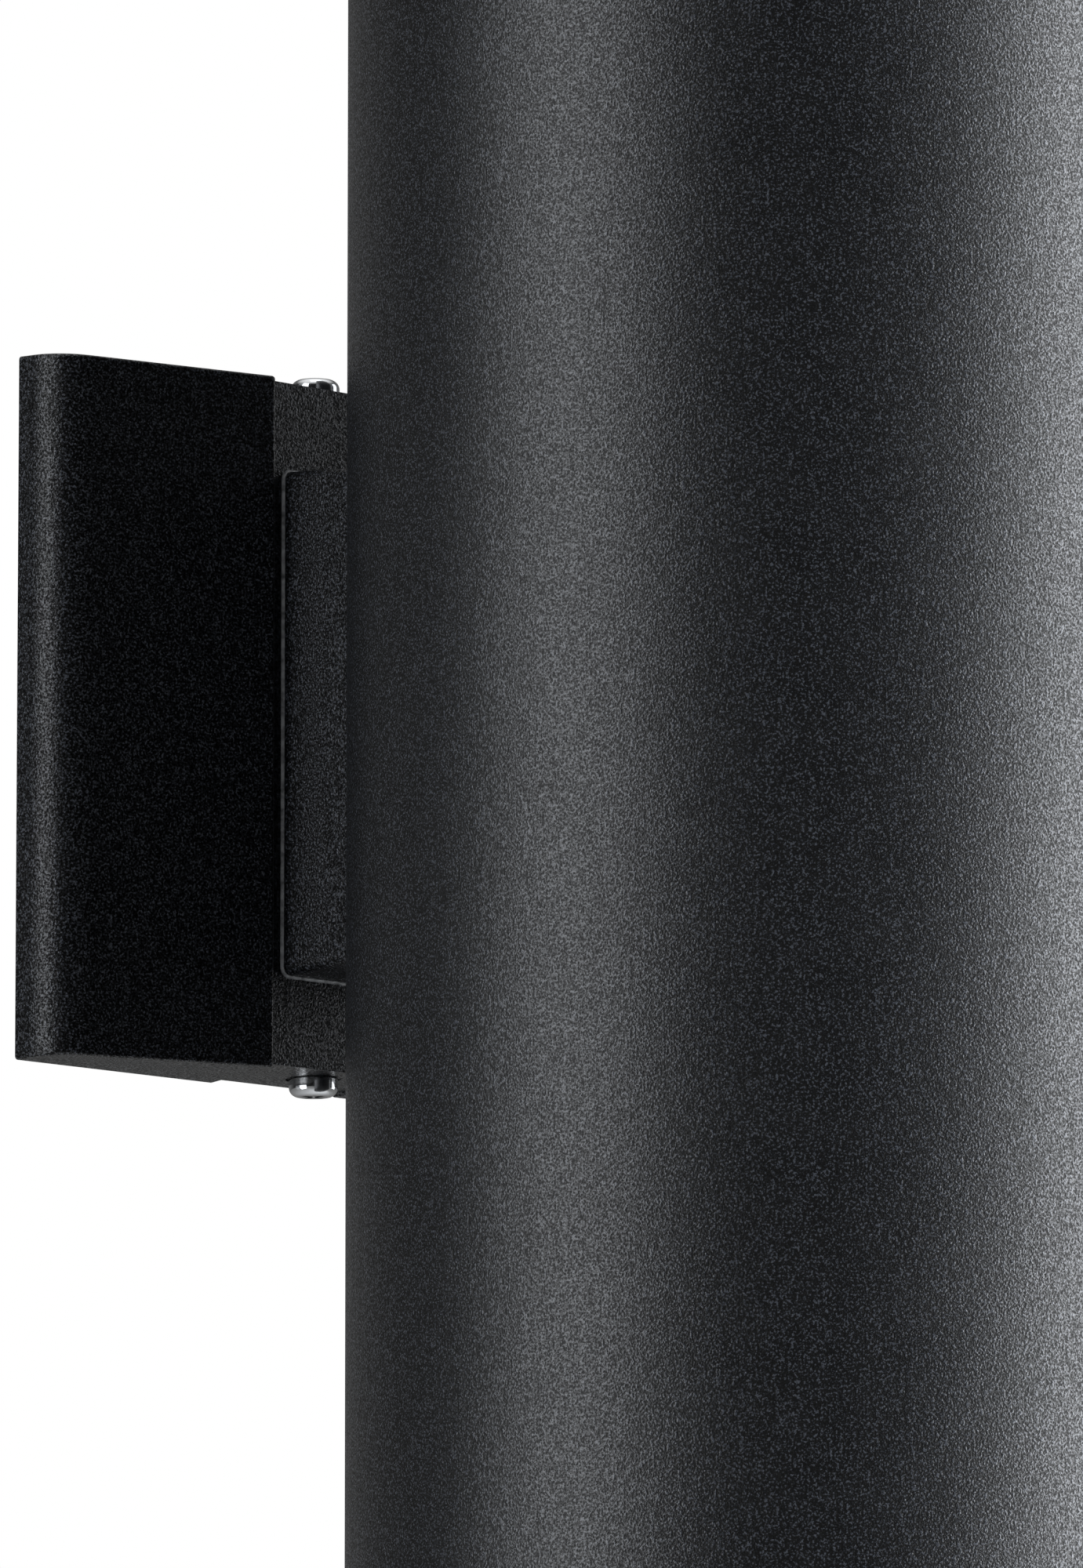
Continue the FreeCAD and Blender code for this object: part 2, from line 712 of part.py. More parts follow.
def make_lamp_base():
    """Screw base: solder tip, insulator cone and rolled thread, closed by its collar."""
    crest = lamp_base_radius
    root = crest - lamp_thread_depth
    outline = [(0, 0, 0), (lamp_tip_radius, 0, 0), (lamp_tip_radius, lamp_tip_height, 0),
               (lamp_cone_radius, lamp_cone_height, 0)]
    for turn in range(lamp_thread_turns):
        low = lamp_cone_height + turn * lamp_thread_pitch
        outline.append((root, low, 0))
        outline.append((crest, low + lamp_thread_pitch / 2, 0))
    outline += [(root, lamp_cone_height + lamp_thread_turns * lamp_thread_pitch, 0),
                (root, lamp_base_length, 0),
                (lamp_collar_radius, lamp_base_length + lamp_collar_height, lamp_collar_round),
                (lamp_collar_radius, lamp_collar_top, 0), (0, lamp_collar_top, 0)]
    return at_lamp(turned(outline))


def bowl_radius(height):
    """Parabola of the lamp's reflector at a height above the lamp's tip."""
    wide = lamp_diameter / 2 - lamp_glass
    growth = (wide ** 2 - lamp_bowl_radius ** 2) / lamp_bowl_rise
    return math.sqrt(lamp_bowl_radius ** 2 + growth * (height - lamp_bowl_start))


def make_lamp_reflector():
    """Pressed glass bowl with a rolled rim, open at the front."""
    foot = lamp_collar_top + seat_gap
    rim = lamp_rim_z
    top = rim + lamp_rim_height
    outer = lamp_diameter / 2
    middle = (lamp_bowl_start + rim) / 2
    glass = lamp_glass
    floor = lamp_neck_height + glass
    points = [V(lamp_collar_radius, 0, foot), V(lamp_neck_radius, 0, lamp_neck_height),
              V(lamp_bowl_radius, 0, lamp_bowl_start), V(bowl_radius(middle), 0, middle),
              V(outer - glass, 0, rim), V(outer, 0, rim + glass), V(outer, 0, top),
              V(outer - glass, 0, top), V(outer - 2 * glass, 0, rim),
              V(bowl_radius(middle) - glass, 0, middle + glass),
              V(lamp_bowl_radius - glass, 0, lamp_bowl_start + glass),
              V(bowl_floor_radius, 0, floor), V(0, 0, floor), V(0, 0, foot)]
    line_ends = (1, 2, 5, 6, 7, 8, 11, 12, 13, 0)
    edges = [Part.LineSegment(points[k - 1], points[k]).toShape() for k in line_ends]
    edges += [Part.Arc(points[k], points[k + 1], points[k + 2]).toShape() for k in (2, 8)]
    wire = Part.Wire(Part.__sortEdges__(edges))
    return at_lamp(Part.Face(wire).revolve(ORIGIN, Z_AXIS, 360))


def dome_arc(sphere, centre_z, radius):
    """Arc of a sphere centred on the axis, from the axis out to a radius."""
    half_angle = math.asin(radius / sphere) / 2
    middle = V(sphere * math.sin(half_angle), 0, centre_z + sphere * math.cos(half_angle))
    end = V(radius, 0, centre_z + math.sqrt(sphere ** 2 - radius ** 2))
    return Part.Arc(V(0, 0, centre_z + sphere), middle, end).toShape(), end


def make_lamp_front():
    """Slightly domed pressed glass front, closed on to the reflector's rim."""
    low = lamp_rim_z + lamp_rim_height + seat_gap
    edge_top = low + lamp_lens_edge
    outer = lamp_diameter / 2
    thick = lamp_glass
    swell = lamp_length - edge_top
    reach = outer - thick
    sphere = (reach ** 2 + swell ** 2) / (2 * swell)
    outer_dome, dome_foot = dome_arc(sphere, lamp_length - sphere, reach)
    inner_dome, inner_foot = dome_arc(sphere - thick, lamp_length - sphere, reach - thick)
    shoulder = V(outer, 0, edge_top - thick / 2)
    corners = [inner_foot, V(reach - thick, 0, low), V(outer, 0, low), shoulder, dome_foot]
    edges = [Part.LineSegment(corners[k], corners[k + 1]).toShape() for k in range(4)]
    edges += [outer_dome, inner_dome]
    edges.append(Part.LineSegment(V(0, 0, lamp_length), V(0, 0, lamp_length - thick)).toShape())
    wire = Part.Wire(Part.__sortEdges__(edges))
    return at_lamp(Part.Face(wire).revolve(ORIGIN, Z_AXIS, 360))


def make_lamp_capsule():
    """Halogen burner that stands in the bowl on its pinched foot."""
    low = lamp_neck_height + lamp_glass + seat_gap
    neck = low + capsule_foot
    shoulder = neck + capsule_radius - capsule_foot_radius
    outline = [(0, low, 0), (capsule_foot_radius, low, 0), (capsule_foot_radius, neck, capsule_round),
               (capsule_radius, shoulder, capsule_round),
               (capsule_radius, low + capsule_length, capsule_tip_round), (0, low + capsule_length, 0)]
    return at_lamp(turned(outline))


# ---- pull-out trims, built for the upper side from the bottom of the trim ----

def at_trim(shape):
    return to_tube_axis(shape).translated(V(0, 0, trim_bottom_z))


def lens_seat_height():
    """Height of the baffle's top step, which carries the gasket and the lens."""
    return retainer_low - lens_thickness - lens_gasket - seat_gap


def make_baffle():
    """Stepped black baffle: treads inside, a waist for the clips, the lens seat on top."""
    seat = lens_seat_height()
    rise = seat / baffle_steps
    groove = lens_seat_radius + retainer_depth
    groove_top = retainer_low + retainer_thickness
    outline = [(trim_outer, 0, trim_edge), (trim_outer, trim_flange, 0),
               (waist_radius, trim_flange + trim_waist / 2, 0), (waist_radius, seat - trim_flange / 2, 0),
               (trim_outer, seat, 0), (trim_outer, trim_height, trim_edge),
               (lens_seat_radius, trim_height, 0), (lens_seat_radius, groove_top, 0),
               (groove, groove_top, 0), (groove, retainer_low, 0),
               (lens_seat_radius, retainer_low, 0), (lens_seat_radius, seat, 0)]
    for step in reversed(range(baffle_steps)):
        radius = baffle_mouth_radius + step * baffle_tread
        outline.append((radius, (step + 1) * rise, 0))
        outline.append((radius, step * rise, 0))
    return at_trim(turned(outline))


def make_lens_gasket():
    low = lens_seat_height()
    inner = lens_radius - lens_ledge
    outline = [(inner, low, 0), (lens_radius, low, 0), (lens_radius, low + lens_gasket, 0),
               (inner, low + lens_gasket, 0)]
    return at_trim(turned(outline))


def make_lens():
    low = lens_seat_height() + lens_gasket
    outline = [(0, low, 0), (lens_radius, low, lens_round), (lens_radius, low + lens_thickness, lens_round),
               (0, low + lens_thickness, 0)]
    return at_trim(turned(outline))


def split_ring(outer, width, thickness):
    """Flat sprung ring with a gap, lying from z = 0 up."""
    inner = outer - width
    ring = turned([(inner, 0, 0), (outer, 0, 0), (outer, thickness, 0), (inner, thickness, 0)])
    gap = block(0, outer + overcut, -ring_gap / 2, ring_gap / 2, -overcut, thickness + overcut)
    return ring.cut(gap)


def make_lens_retainer():
    outer = lens_seat_radius + retainer_depth - seat_gap
    ring = split_ring(outer, retainer_width, retainer_thickness - 2 * seat_gap)
    return at_trim(ring.translated(V(0, 0, retainer_low + seat_gap)))


def make_stop_ring():
    ring = split_ring(tube_inner + retainer_depth, stop_ring_width, stop_ring_thickness)
    return to_tube_axis(ring).translated(V(0, 0, stop_ring_bottom()))


def make_spring_clips():
    """Bowed leaf springs in the baffle's waist that grip the tube."""
    middle = trim_flange + (lens_seat_height() - trim_flange) / 2
    low = middle - clip_height / 2
    high = middle + clip_height / 2
    foot = waist_radius + seat_gap
    crown = math.sqrt((tube_inner - running_gap) ** 2 - clip_half_width ** 2)
    ends = [V(foot + clip_sheet, 0, low), V(foot + clip_sheet, 0, high), V(foot, 0, high), V(foot, 0, low)]
    edges = [Part.Arc(ends[0], V(crown, 0, middle), ends[1]).toShape(),
             Part.LineSegment(ends[1], ends[2]).toShape(),
             Part.Arc(ends[2], V(crown - clip_sheet, 0, middle), ends[3]).toShape(),
             Part.LineSegment(ends[3], ends[0]).toShape()]
    face = Part.Face(Part.Wire(edges))
    face.translate(V(0, -clip_half_width, 0))
    clip = face.extrude(V(0, 2 * clip_half_width, 0))
    clips = [clip.rotated(ORIGIN, Z_AXIS, 90 + 360 / clip_count * k) for k in range(clip_count)]
    return at_trim(Part.makeCompound(clips))


# ---- wiring ----

def bushing(radius, wall_y, far_y):
    """Nylon bushing along Y: its flange lies on wall_y, its body runs to far_y."""
    away = 1 if wall_y > far_y else -1
    length = abs(wall_y - far_y)
    lip = radius + bushing_lip
    outline = [(radius - bushing_wall, -length, 0), (radius, -length, bushing_edge), (radius, 0, 0),
               (lip, 0, bushing_edge), (lip, bushing_flange, bushing_edge),
               (radius - bushing_wall, bushing_flange, bushing_edge)]
    return pointing(turned(outline), Y_AXIS * away).translated(V(0, wall_y, 0))


def make_canopy_bushing():
    return bushing(canopy_hole_radius - seat_gap, plateau_inner_y, plateau_y - canopy_wall)


def make_tube_bushing():
    return bushing(wire_hole_radius - seat_gap, web_front_y, arm_end_y)


def bent_tube(points, bends, radius):
    """Round lead through points, its corners turned with the given bend radii."""
    path = []
    last = points[0]
    for index, bend in enumerate(bends, start=1):
        start, middle, end = tangent_arc(points[index - 1], points[index], points[index + 1], bend)
        path.append(Part.LineSegment(last, start).toShape())
        path.append(Part.Arc(start, middle, end).toShape())
        last = end
    path.append(Part.LineSegment(last, points[-1]).toShape())
    section = Part.Wire([Part.Circle(points[0], points[1] - points[0], radius).toShape()])
    return Part.Wire(path).makePipeShell([section], True, False)


def socket_leads(side):
    """Both leads of one colour, from their connector to the upper and lower sockets."""
    leads = []
    for level in (-1, 1):
        x_start = side * (connector_offset - level * connector_lead_spread)
        x_run = side * lead_spacing
        z_run = level * lead_spacing
        y_end = tube_axis_y + lead_spacing
        points = [V(x_start, -lead_plane, connector_mouth + connector_grip),
                  V(x_start, -lead_plane, z_run), V(x_run, -lead_plane, z_run),
                  V(x_run, y_end, z_run), V(x_run, y_end, level * (socket_base_z + lead_rise))]
        leads.append(bent_tube(points, (lead_bend, lead_bend, lead_turn), lead_radius))
    return Part.makeCompound(leads)


def make_wire_connectors():
    """Two twist-on connectors with grip fins, their mouths down."""
    mouth = connector_radius - connector_wall
    ceiling = connector_length - 2 * connector_wall
    narrow = connector_tip_radius - connector_wall
    outline = [(mouth, 0, 0), (connector_radius, 0, connector_edge),
               (connector_tip_radius, connector_length, connector_tip_round), (0, connector_length, 0),
               (0, ceiling, 0), (narrow, ceiling, 0)]
    cap = turned(outline)
    half = connector_fin_thickness / 2
    fins = []
    fin_top = connector_wall + connector_fin_length
    for k in range(connector_fins):
        fin = block(0, connector_fin_reach, -half, half, connector_wall, fin_top)
        fins.append(fin.rotated(ORIGIN, Z_AXIS, 360 / connector_fins * k))
    hollow = Part.makeCone(mouth, narrow, ceiling)
    ribbed = cap.fuse([fin.cut(hollow) for fin in fins]).removeSplitter()
    places = [V(side * connector_offset, -lead_plane, connector_mouth) for side in (-1, 1)]
    return Part.makeCompound([ribbed.translated(place) for place in places])


def ground_turn_x():
    """Where the ground lead turns back to the web, past the bushing's lip."""
    return wire_hole_radius + bushing_lip + ground_lead_radius + running_gap


def ground_screw_x():
    """How far the bridge's ground screw stands from the middle."""
    return ground_turn_x() + ground_bend + lug_barrel_length + ground_head_radius


def make_ground_screws():
    """Ground screws in the strap and in the bridge's web, each over its lug."""
    places = [(strap_thickness, V(0, -strap_thickness - lug_sheet, -ground_screw_drop)),
              (bridge_sheet, V(ground_screw_x(), web_front_y - lug_sheet, 0))]
    screws = []
    for sheet, place in places:
        screw = pan_screw(ground_screw_radius, lug_sheet + sheet, ground_head_radius, ground_head_height)
        screws.append(pointing(screw, -Y_AXIS).translated(place))
    return Part.makeCompound(screws)


def ground_lug(centre, along):
    """Ring lug flat on a face that looks along -Y, its barrel running along."""
    ring = rod(ground_head_radius, centre, -Y_AXIS, lug_sheet)
    barrel_start = centre + along * (ground_head_radius - lug_sheet) - Y_AXIS * lug_height()
    barrel = rod(lug_height(), barrel_start, along, lug_barrel_length)
    hole_start = centre + Y_AXIS * overcut
    hole = rod(ground_screw_radius + hole_gap, hole_start, -Y_AXIS, lug_sheet + 2 * overcut)
    head_seat = centre - Y_AXIS * lug_sheet
    head_room = rod(ground_head_radius + seat_gap, head_seat, -Y_AXIS, ground_head_height + overcut)
    return ring.fuse(barrel).cut([hole, head_room])


def lug_height():
    """How far a lead in a lug's barrel stands off the face under the lug."""
    return ground_lead_radius + lug_sheet


def make_ground_lead():
    """Ground lead from the strap through both bushings to the bridge's web."""
    strap_lug = ground_lug(V(0, -strap_thickness, -ground_screw_drop), Z_AXIS)
    web_lug = ground_lug(V(ground_screw_x(), web_front_y, 0), -X_AXIS)
    strap_y = -strap_thickness - lug_height()
    web_y = web_front_y - lug_height()
    far_y = web_y - 3 * ground_bend
    barrel_end = ground_head_radius + lug_barrel_length
    points = [V(0, strap_y, -ground_screw_drop + barrel_end - overcut), V(0, strap_y, 0), V(0, far_y, 0),
              V(ground_turn_x(), far_y, 0), V(ground_turn_x(), web_y, 0),
              V(ground_screw_x() - ground_head_radius - lug_sheet, web_y, 0)]
    bends = (lead_bend, ground_bend, ground_bend, ground_bend)
    lead = bent_tube(points, bends, ground_lead_radius)
    return lead.fuse([strap_lug, web_lug])


# ---- assembly ----

def make_parts():
    """Every sub-part by its name."""
    parts = {
        "canopy_cover": make_canopy_cover(),
        "wall_gasket": make_wall_gasket(),
        "wall_strap": make_wall_strap(),
        "arm_block": make_arm_block(),
        "arm_screws": make_arm_screws(),
        "saddle_bolts": make_saddle_bolts(),
        "tube_housing": make_tube_housing(),
        "tube_saddle": make_tube_saddle(),
        "socket_bridge": make_socket_bridge(),
        "socket_screws": make_socket_screws(),
        "canopy_bushing": make_canopy_bushing(),
        "tube_bushing": make_tube_bushing(),
        "black_leads": socket_leads(-1),
        "white_leads": socket_leads(1),
        "wire_connectors": make_wire_connectors(),
        "ground_screws": make_ground_screws(),
        "ground_lead": make_ground_lead(),
    }
    upper = {
        "mount_screw": make_mount_screw(),
        "socket_body": make_socket_body(),
        "socket_shell": make_socket_shell(),
        "socket_contact": make_socket_contact(),
        "lamp_base": make_lamp_base(),
        "lamp_reflector": make_lamp_reflector(),
        "lamp_front": make_lamp_front(),
        "lamp_capsule": make_lamp_capsule(),
        "baffle": make_baffle(),
        "lens_gasket": make_lens_gasket(),
        "lens": make_lens(),
        "lens_retainer": make_lens_retainer(),
        "stop_ring": make_stop_ring(),
        "spring_clips": make_spring_clips(),
    }
    for name, shape in upper.items():
        parts["upper_" + name] = shape
        parts["lower_" + name] = mirrored(shape)
    return parts


def main():
    os.makedirs("parts", exist_ok=True)
    for name, shape in make_parts().items():
        shape.exportStep("parts/" + name + ".step")


main()
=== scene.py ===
import math

import bmesh
import bpy
from mathutils import Matrix, Vector


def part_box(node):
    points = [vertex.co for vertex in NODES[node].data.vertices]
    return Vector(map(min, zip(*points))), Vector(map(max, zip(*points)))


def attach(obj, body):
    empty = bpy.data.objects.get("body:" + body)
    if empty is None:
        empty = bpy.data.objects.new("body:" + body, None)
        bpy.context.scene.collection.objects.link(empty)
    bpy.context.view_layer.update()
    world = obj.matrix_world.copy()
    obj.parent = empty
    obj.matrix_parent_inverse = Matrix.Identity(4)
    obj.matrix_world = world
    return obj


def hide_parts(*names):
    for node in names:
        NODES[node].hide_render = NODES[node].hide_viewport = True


bl_info = {
    "name": "Tube Wall Light",
    "version": (1, 0, 0),
    "blender": (4, 5, 0),
    "location": "3D View > Sidebar > Tube Light",
    "description": "Finishes, threads, lamps and studio for an up-and-down tube wall light",
    "category": "Object",
}

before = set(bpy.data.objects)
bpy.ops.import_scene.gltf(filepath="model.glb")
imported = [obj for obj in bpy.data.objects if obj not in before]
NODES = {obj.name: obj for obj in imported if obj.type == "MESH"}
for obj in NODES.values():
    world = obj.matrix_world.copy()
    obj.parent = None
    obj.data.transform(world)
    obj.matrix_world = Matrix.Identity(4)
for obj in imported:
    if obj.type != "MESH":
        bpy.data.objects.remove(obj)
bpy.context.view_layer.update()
SIDES = (("upper", 1), ("lower", -1))
MM = 0.001


def linear(hex_colour):
    """Linear RGBA of an sRGB colour written as six hex digits."""
    parts = [int(hex_colour[k:k + 2], 16) / 255 for k in (0, 2, 4)]
    return [c / 12.92 if c <= 0.04045 else ((c + 0.055) / 1.055) ** 2.4 for c in parts] + [1.0]


def add(tree, kind, values=None, links=None, **settings):
    """Adds a node, with its settings, its input values and its links."""
    node = tree.nodes.new(kind)
    for name, value in settings.items():
        setattr(node, name, value)
    for key, value in (values or {}).items():
        node.inputs[key].default_value = value
    for key, socket in (links or {}).items():
        tree.links.new(socket, node.inputs[key])
    return node


def colour_property(name, hex_colour, text):
    return bpy.props.FloatVectorProperty(name=name, description=text, subtype="COLOR", size=4,
                                         min=0.0, max=1.0, default=linear(hex_colour))


def length_property(name, millimetres, text, lowest=0.0):
    return bpy.props.FloatProperty(name=name, description=text, subtype="DISTANCE", unit="LENGTH",
                                   precision=5, min=lowest, default=millimetres * MM)


def angle_property(name, degrees, text):
    return bpy.props.FloatProperty(name=name, description=text, subtype="ANGLE", unit="ROTATION",
                                   default=math.radians(degrees))


# ---- what a user would change ----

class TubeLightSizes(bpy.types.PropertyGroup):
    """Sizes of the surface textures and of the small repeated forms."""

    sand_grain: length_property("Sand Grain", 0.36, "Grain of the powder coat on the tube")
    cast_grain: length_property("Cast Grain", 0.36, "Grain of the powder coat on the castings")
    coat_bead: length_property("Coat Bead", 0.4, "Bead of coat between the canopy and the arm's foot")
    foam_cell: length_property("Foam Cell", 0.5, "Cell size of the gasket's foam")
    canopy_pitch: length_property("Canopy Screw Pitch", 0.7, "Pitch of the M4 canopy screws")
    bolt_pitch: length_property("Bolt Pitch", 0.8, "Pitch of the M5 bolts of arm and tube")
    small_pitch: length_property("Small Screw Pitch", 0.6, "Pitch of the socket screws")
    ground_pitch: length_property("Ground Screw Pitch", 0.8, "Pitch of the ground screws")
    lamp_pitch: length_property("Lamp Thread Pitch", 3.6, "Pitch of the lamp base's rolled thread")
    lamp_swell: length_property("Lamp Thread Swell", 0.25, "Swell of the lamp's rolled thread either way")
    filament_pitch: length_property("Filament Pitch", 0.55, "Pitch of the burner's filament coil")
    filament_wire: length_property("Filament Wire", 0.11, "Radius of the burner's filament wire")


class TubeLightColours(bpy.types.PropertyGroup):
    """Colours of the finishes."""

    coat: colour_property("Powder Coat", "0b0c0e", "Black powder coat of the tube and castings")
    # Pale grey of the coat bead at the arm's foot: a painted highlight.
    highlight_painted_coat: colour_property("Highlight Painted Coat", "9a9c9f", "Painted highlight on the coat bead at the arm's foot")
    baffle: colour_property("Baffle Black", "101112", "Matt black of the stepped baffles")
    foam: colour_property("Foam", "2b2c2e", "Closed-cell foam gasket")
    chrome: colour_property("Chrome", "dfe1e3", "Plated heads of the canopy screws")
    zinc: colour_property("Zinc", "b9bcbd", "Zinc plate of the strap, bridge and rings")
    aluminium: colour_property("Aluminium", "b4b5b6", "Machined aluminium saddle")
    porcelain: colour_property("Porcelain", "ece8de", "Glazed porcelain of the sockets")
    brass: colour_property("Brass", "c9a24e", "Screw shells and contacts of the sockets")
    bowl: colour_property("Lamp Bowl", "d9dbdd", "Aluminised bowl of the lamps")
    glass: colour_property("Lens Glass", "f1f6f3", "Tempered soda-lime glass of the lenses")
    live: colour_property("Live Lead", "17171a", "Insulation of the live leads")
    neutral: colour_property("Neutral Lead", "e6e4dd", "Insulation of the neutral leads")
    earth: colour_property("Earth Lead", "1f6b35", "Insulation of the earth lead and its screws")
    connector: colour_property("Connector", "c9702c", "Moulded shells of the wire connectors")
    nylon: colour_property("Nylon", "1b1b1c", "Moulded nylon bushings")


class TubeLightStudio(bpy.types.PropertyGroup):
    """Camera and light."""

    azimuth: angle_property("Azimuth", -45.0, "Camera's turn from the front, negative to the left")
    elevation: angle_property("Elevation", -8.33, "Camera's height over the level, negative below")
    distance: length_property("Distance", 2086.55, "Camera to the point that it looks at")
    lens: bpy.props.FloatProperty(name="Lens", description="Focal length on a 36 mm frame",
                                  subtype="DISTANCE_CAMERA", unit="CAMERA", default=292.72)
    aim_right: length_property("Aim Right", 44.14, "Point looked at, right of the canopy's middle")
    aim_height: length_property("Aim Height", -6.63, "Height of the point looked at", lowest=-1.0)
    floor_drop: length_property("Floor Drop", 1300.0, "Floor below the middle of the canopy")


# ---- finishes ----

def begin(name, colour, metallic, roughness, **sockets):
    """A material with one shader, whose even values sit on its own sockets."""
    material = bpy.data.materials.new(name)
    material.use_nodes = True
    tree = material.node_tree
    tree.nodes.clear()
    shader = add(tree, "ShaderNodeBsdfPrincipled",
                 values={"Base Color": colour, "Metallic": metallic, "Roughness": roughness})
    for key, value in sockets.items():
        shader.inputs[key.replace("_", " ")].default_value = value
    add(tree, "ShaderNodeOutputMaterial", links={"Surface": shader.outputs["BSDF"]})
    return material, tree, add(tree, "ShaderNodeTexCoord").outputs["Object"]


def laid(material, **sources):
    """The material, with what varies over its surface linked to its shader."""
    tree = material.node_tree
    shader = next(node for node in tree.nodes if node.type == "BSDF_PRINCIPLED")
    for name, source in sources.items():
        tree.links.new(source, shader.inputs[name.replace("_", " ")])
    return material


def shaded(colour, factor):
    """A colour made lighter or darker."""
    return [min(c * factor, 1.0) for c in colour[:3]] + [1.0]


def noise(tree, place, scale, detail, **values):
    """Clouds or grain, with the scale in cells to the metre."""
    return add(tree, "ShaderNodeTexNoise", values={"Scale": scale, "Detail": detail, **values},
               links={"Vector": place}).outputs["Fac"]


def cells(tree, place, scale, feature="F1"):
    """Distance from scattered points, with the scale in points to the metre."""
    return add(tree, "ShaderNodeTexVoronoi", feature=feature, values={"Scale": scale},
               links={"Vector": place}).outputs["Distance"]


def bands(tree, place, axis, scale, **values):
    """Parallel waves across an axis."""
    return add(tree, "ShaderNodeTexWave", wave_type="BANDS", bands_direction=axis,
               values={"Scale": scale, **values}, links={"Vector": place}).outputs["Fac"]


def spread(tree, source, low, high, start=0.0, end=1.0):
    """A source's range from start to end laid out from low to high."""
    return add(tree, "ShaderNodeMapRange", links={"Value": source},
               values={"From Min": start, "From Max": end, "To Min": low, "To Max": high}).outputs["Result"]


def weighed(tree, source, weight, other):
    """A source times its weight, and another added."""
    return add(tree, "ShaderNodeMath", operation="MULTIPLY_ADD", values={1: weight},
               links={0: source, 2: other}).outputs["Value"]


def ramp(tree, source, *stops, interpolation="LINEAR"):
    """Colours at stops, each of a position and a colour."""
    node = add(tree, "ShaderNodeValToRGB", links={"Fac": source})
    node.color_ramp.interpolation = interpolation
    elements = node.color_ramp.elements
    for element, (position, colour) in zip(list(elements), stops):
        element.position = position
        element.color = colour
    for position, colour in stops[2:]:
        elements.new(position).color = colour
    return node.outputs["Color"]


def relief(tree, height, strength, depth):
    """Bump of a depth in millimetres."""
    return add(tree, "ShaderNodeBump", values={"Strength": strength, "Distance": depth * MM},
               links={"Height": height}).outputs["Normal"]


def powder_coat(name, colour, grain, level, depth):
    """Polyester powder coat baked on aluminium: melted grains leave a fine sand texture, so soft highlights
    break into dark and light specks, and the film's thickness mottles the gloss. The base colour's grain is
    random in tone, and its light specks are painted glints. The real grit is about 0.2 mm and is drawn
    coarser here, so that it shows. The level is the strength of the gloss, and the depth is how far the grit
    breaks it either way."""
    roughness, swing = 0.29, 0.13
    material, tree, place = begin(name, colour, 0.0, roughness, IOR=1.55)
    sand = noise(tree, place, 1.0 / grain, 1.0, Roughness=0.7)
    film = noise(tree, place, 140.0, 2.0)
    # Base colour grain: random dark and light specks. The light ones, up to sixteen times the coat's colour,
    # are painted glints of the grit.
    speck = ramp(tree, sand, (0.4, shaded(colour, 0.05)), (0.68, shaded(colour, 16.0)),
                 (0.54, shaded(colour, 1.0)))
    grit = spread(tree, sand, roughness + swing, roughness - swing, 0.35, 0.65)
    pits = spread(tree, sand, level * (1 - depth), level * (1 + depth), 0.39, 0.63)
    return laid(material, Base_Color=speck, Roughness=weighed(tree, film, 0.08, grit),
                Specular_IOR_Level=pits, Normal=relief(tree, sand, 0.9, 0.12))


def highlight_painted_coat(colour):
    """Powder coat on the bead at the arm's foot, with a painted highlight: its pale grey stands in for the
    light that the concave corner catches. Smooth, and painted unevenly bright along its length."""
    material, tree, place = begin("Powder coat with painted highlight", colour, 0.0, 0.24, IOR=1.55)
    highlight_unevenness = noise(tree, place, 700.0, 2.0)
    # Pale grey made lighter and darker by noise along the bead: a painted highlight, unevenly bright.
    tint = ramp(tree, highlight_unevenness, (0.3, shaded(colour, 0.4)), (0.65, shaded(colour, 1.4)))
    return laid(material, Base_Color=tint)


def baffle_black(colour):
    """Matt black stoved paint on spun aluminium: it eats stray light, and only the turned grooves
    of the treads catch a thin line."""
    material, tree, place = begin("Matt black stoved paint", colour, 0.0, 0.72)
    grit = noise(tree, place, 3200.0, 2.0)
    turning = bands(tree, place, "Z", 240.0, Distortion=0.4)
    return laid(material, Roughness=spread(tree, grit, 0.64, 0.8),
                Normal=relief(tree, weighed(tree, turning, 0.25, grit), 0.35, 0.05))


def closed_cell_foam(colour, cell):
    """Die-cut closed-cell rubber foam: dull, with pin-prick cells that show where it was cut, their middles
    painted darker as painted shade in the hollows.
    """
    material, tree, place = begin("Closed-cell rubber foam", colour, 0.0, 0.9)
    bubbles = cells(tree, place, 1.0 / cell)
    # The cells' middles are darker: painted shade in the cut cells.
    return laid(material, Normal=relief(tree, bubbles, 0.7, 0.15),
                Base_Color=ramp(tree, bubbles, (0.08, shaded(colour, 0.45)), (0.5, shaded(colour, 1.3))))


def moulded_rubber():
    """Moulded silicone rubber: milky and satin, with a faint bloom on its skin."""
    colour = linear("c4c4bf")
    material, tree, place = begin("Moulded silicone rubber", colour, 0.0, 0.55)
    bloom = noise(tree, place, 420.0, 3.0)
    tint = ramp(tree, bloom, (0.0, shaded(colour, 0.85)), (1.0, shaded(colour, 1.2)))
    return laid(material, Base_Color=tint)


def chrome_plate(colour):
    """Bright chrome over cold-headed steel: a mirror with faint forging waves and hairlines."""
    material, tree, place = begin("Bright chrome plate", colour, 1.0, 0.1)
    waves = noise(tree, place, 900.0, 2.0)
    return laid(material, Roughness=spread(tree, waves, 0.06, 0.17), Normal=relief(tree, waves, 0.12, 0.03))


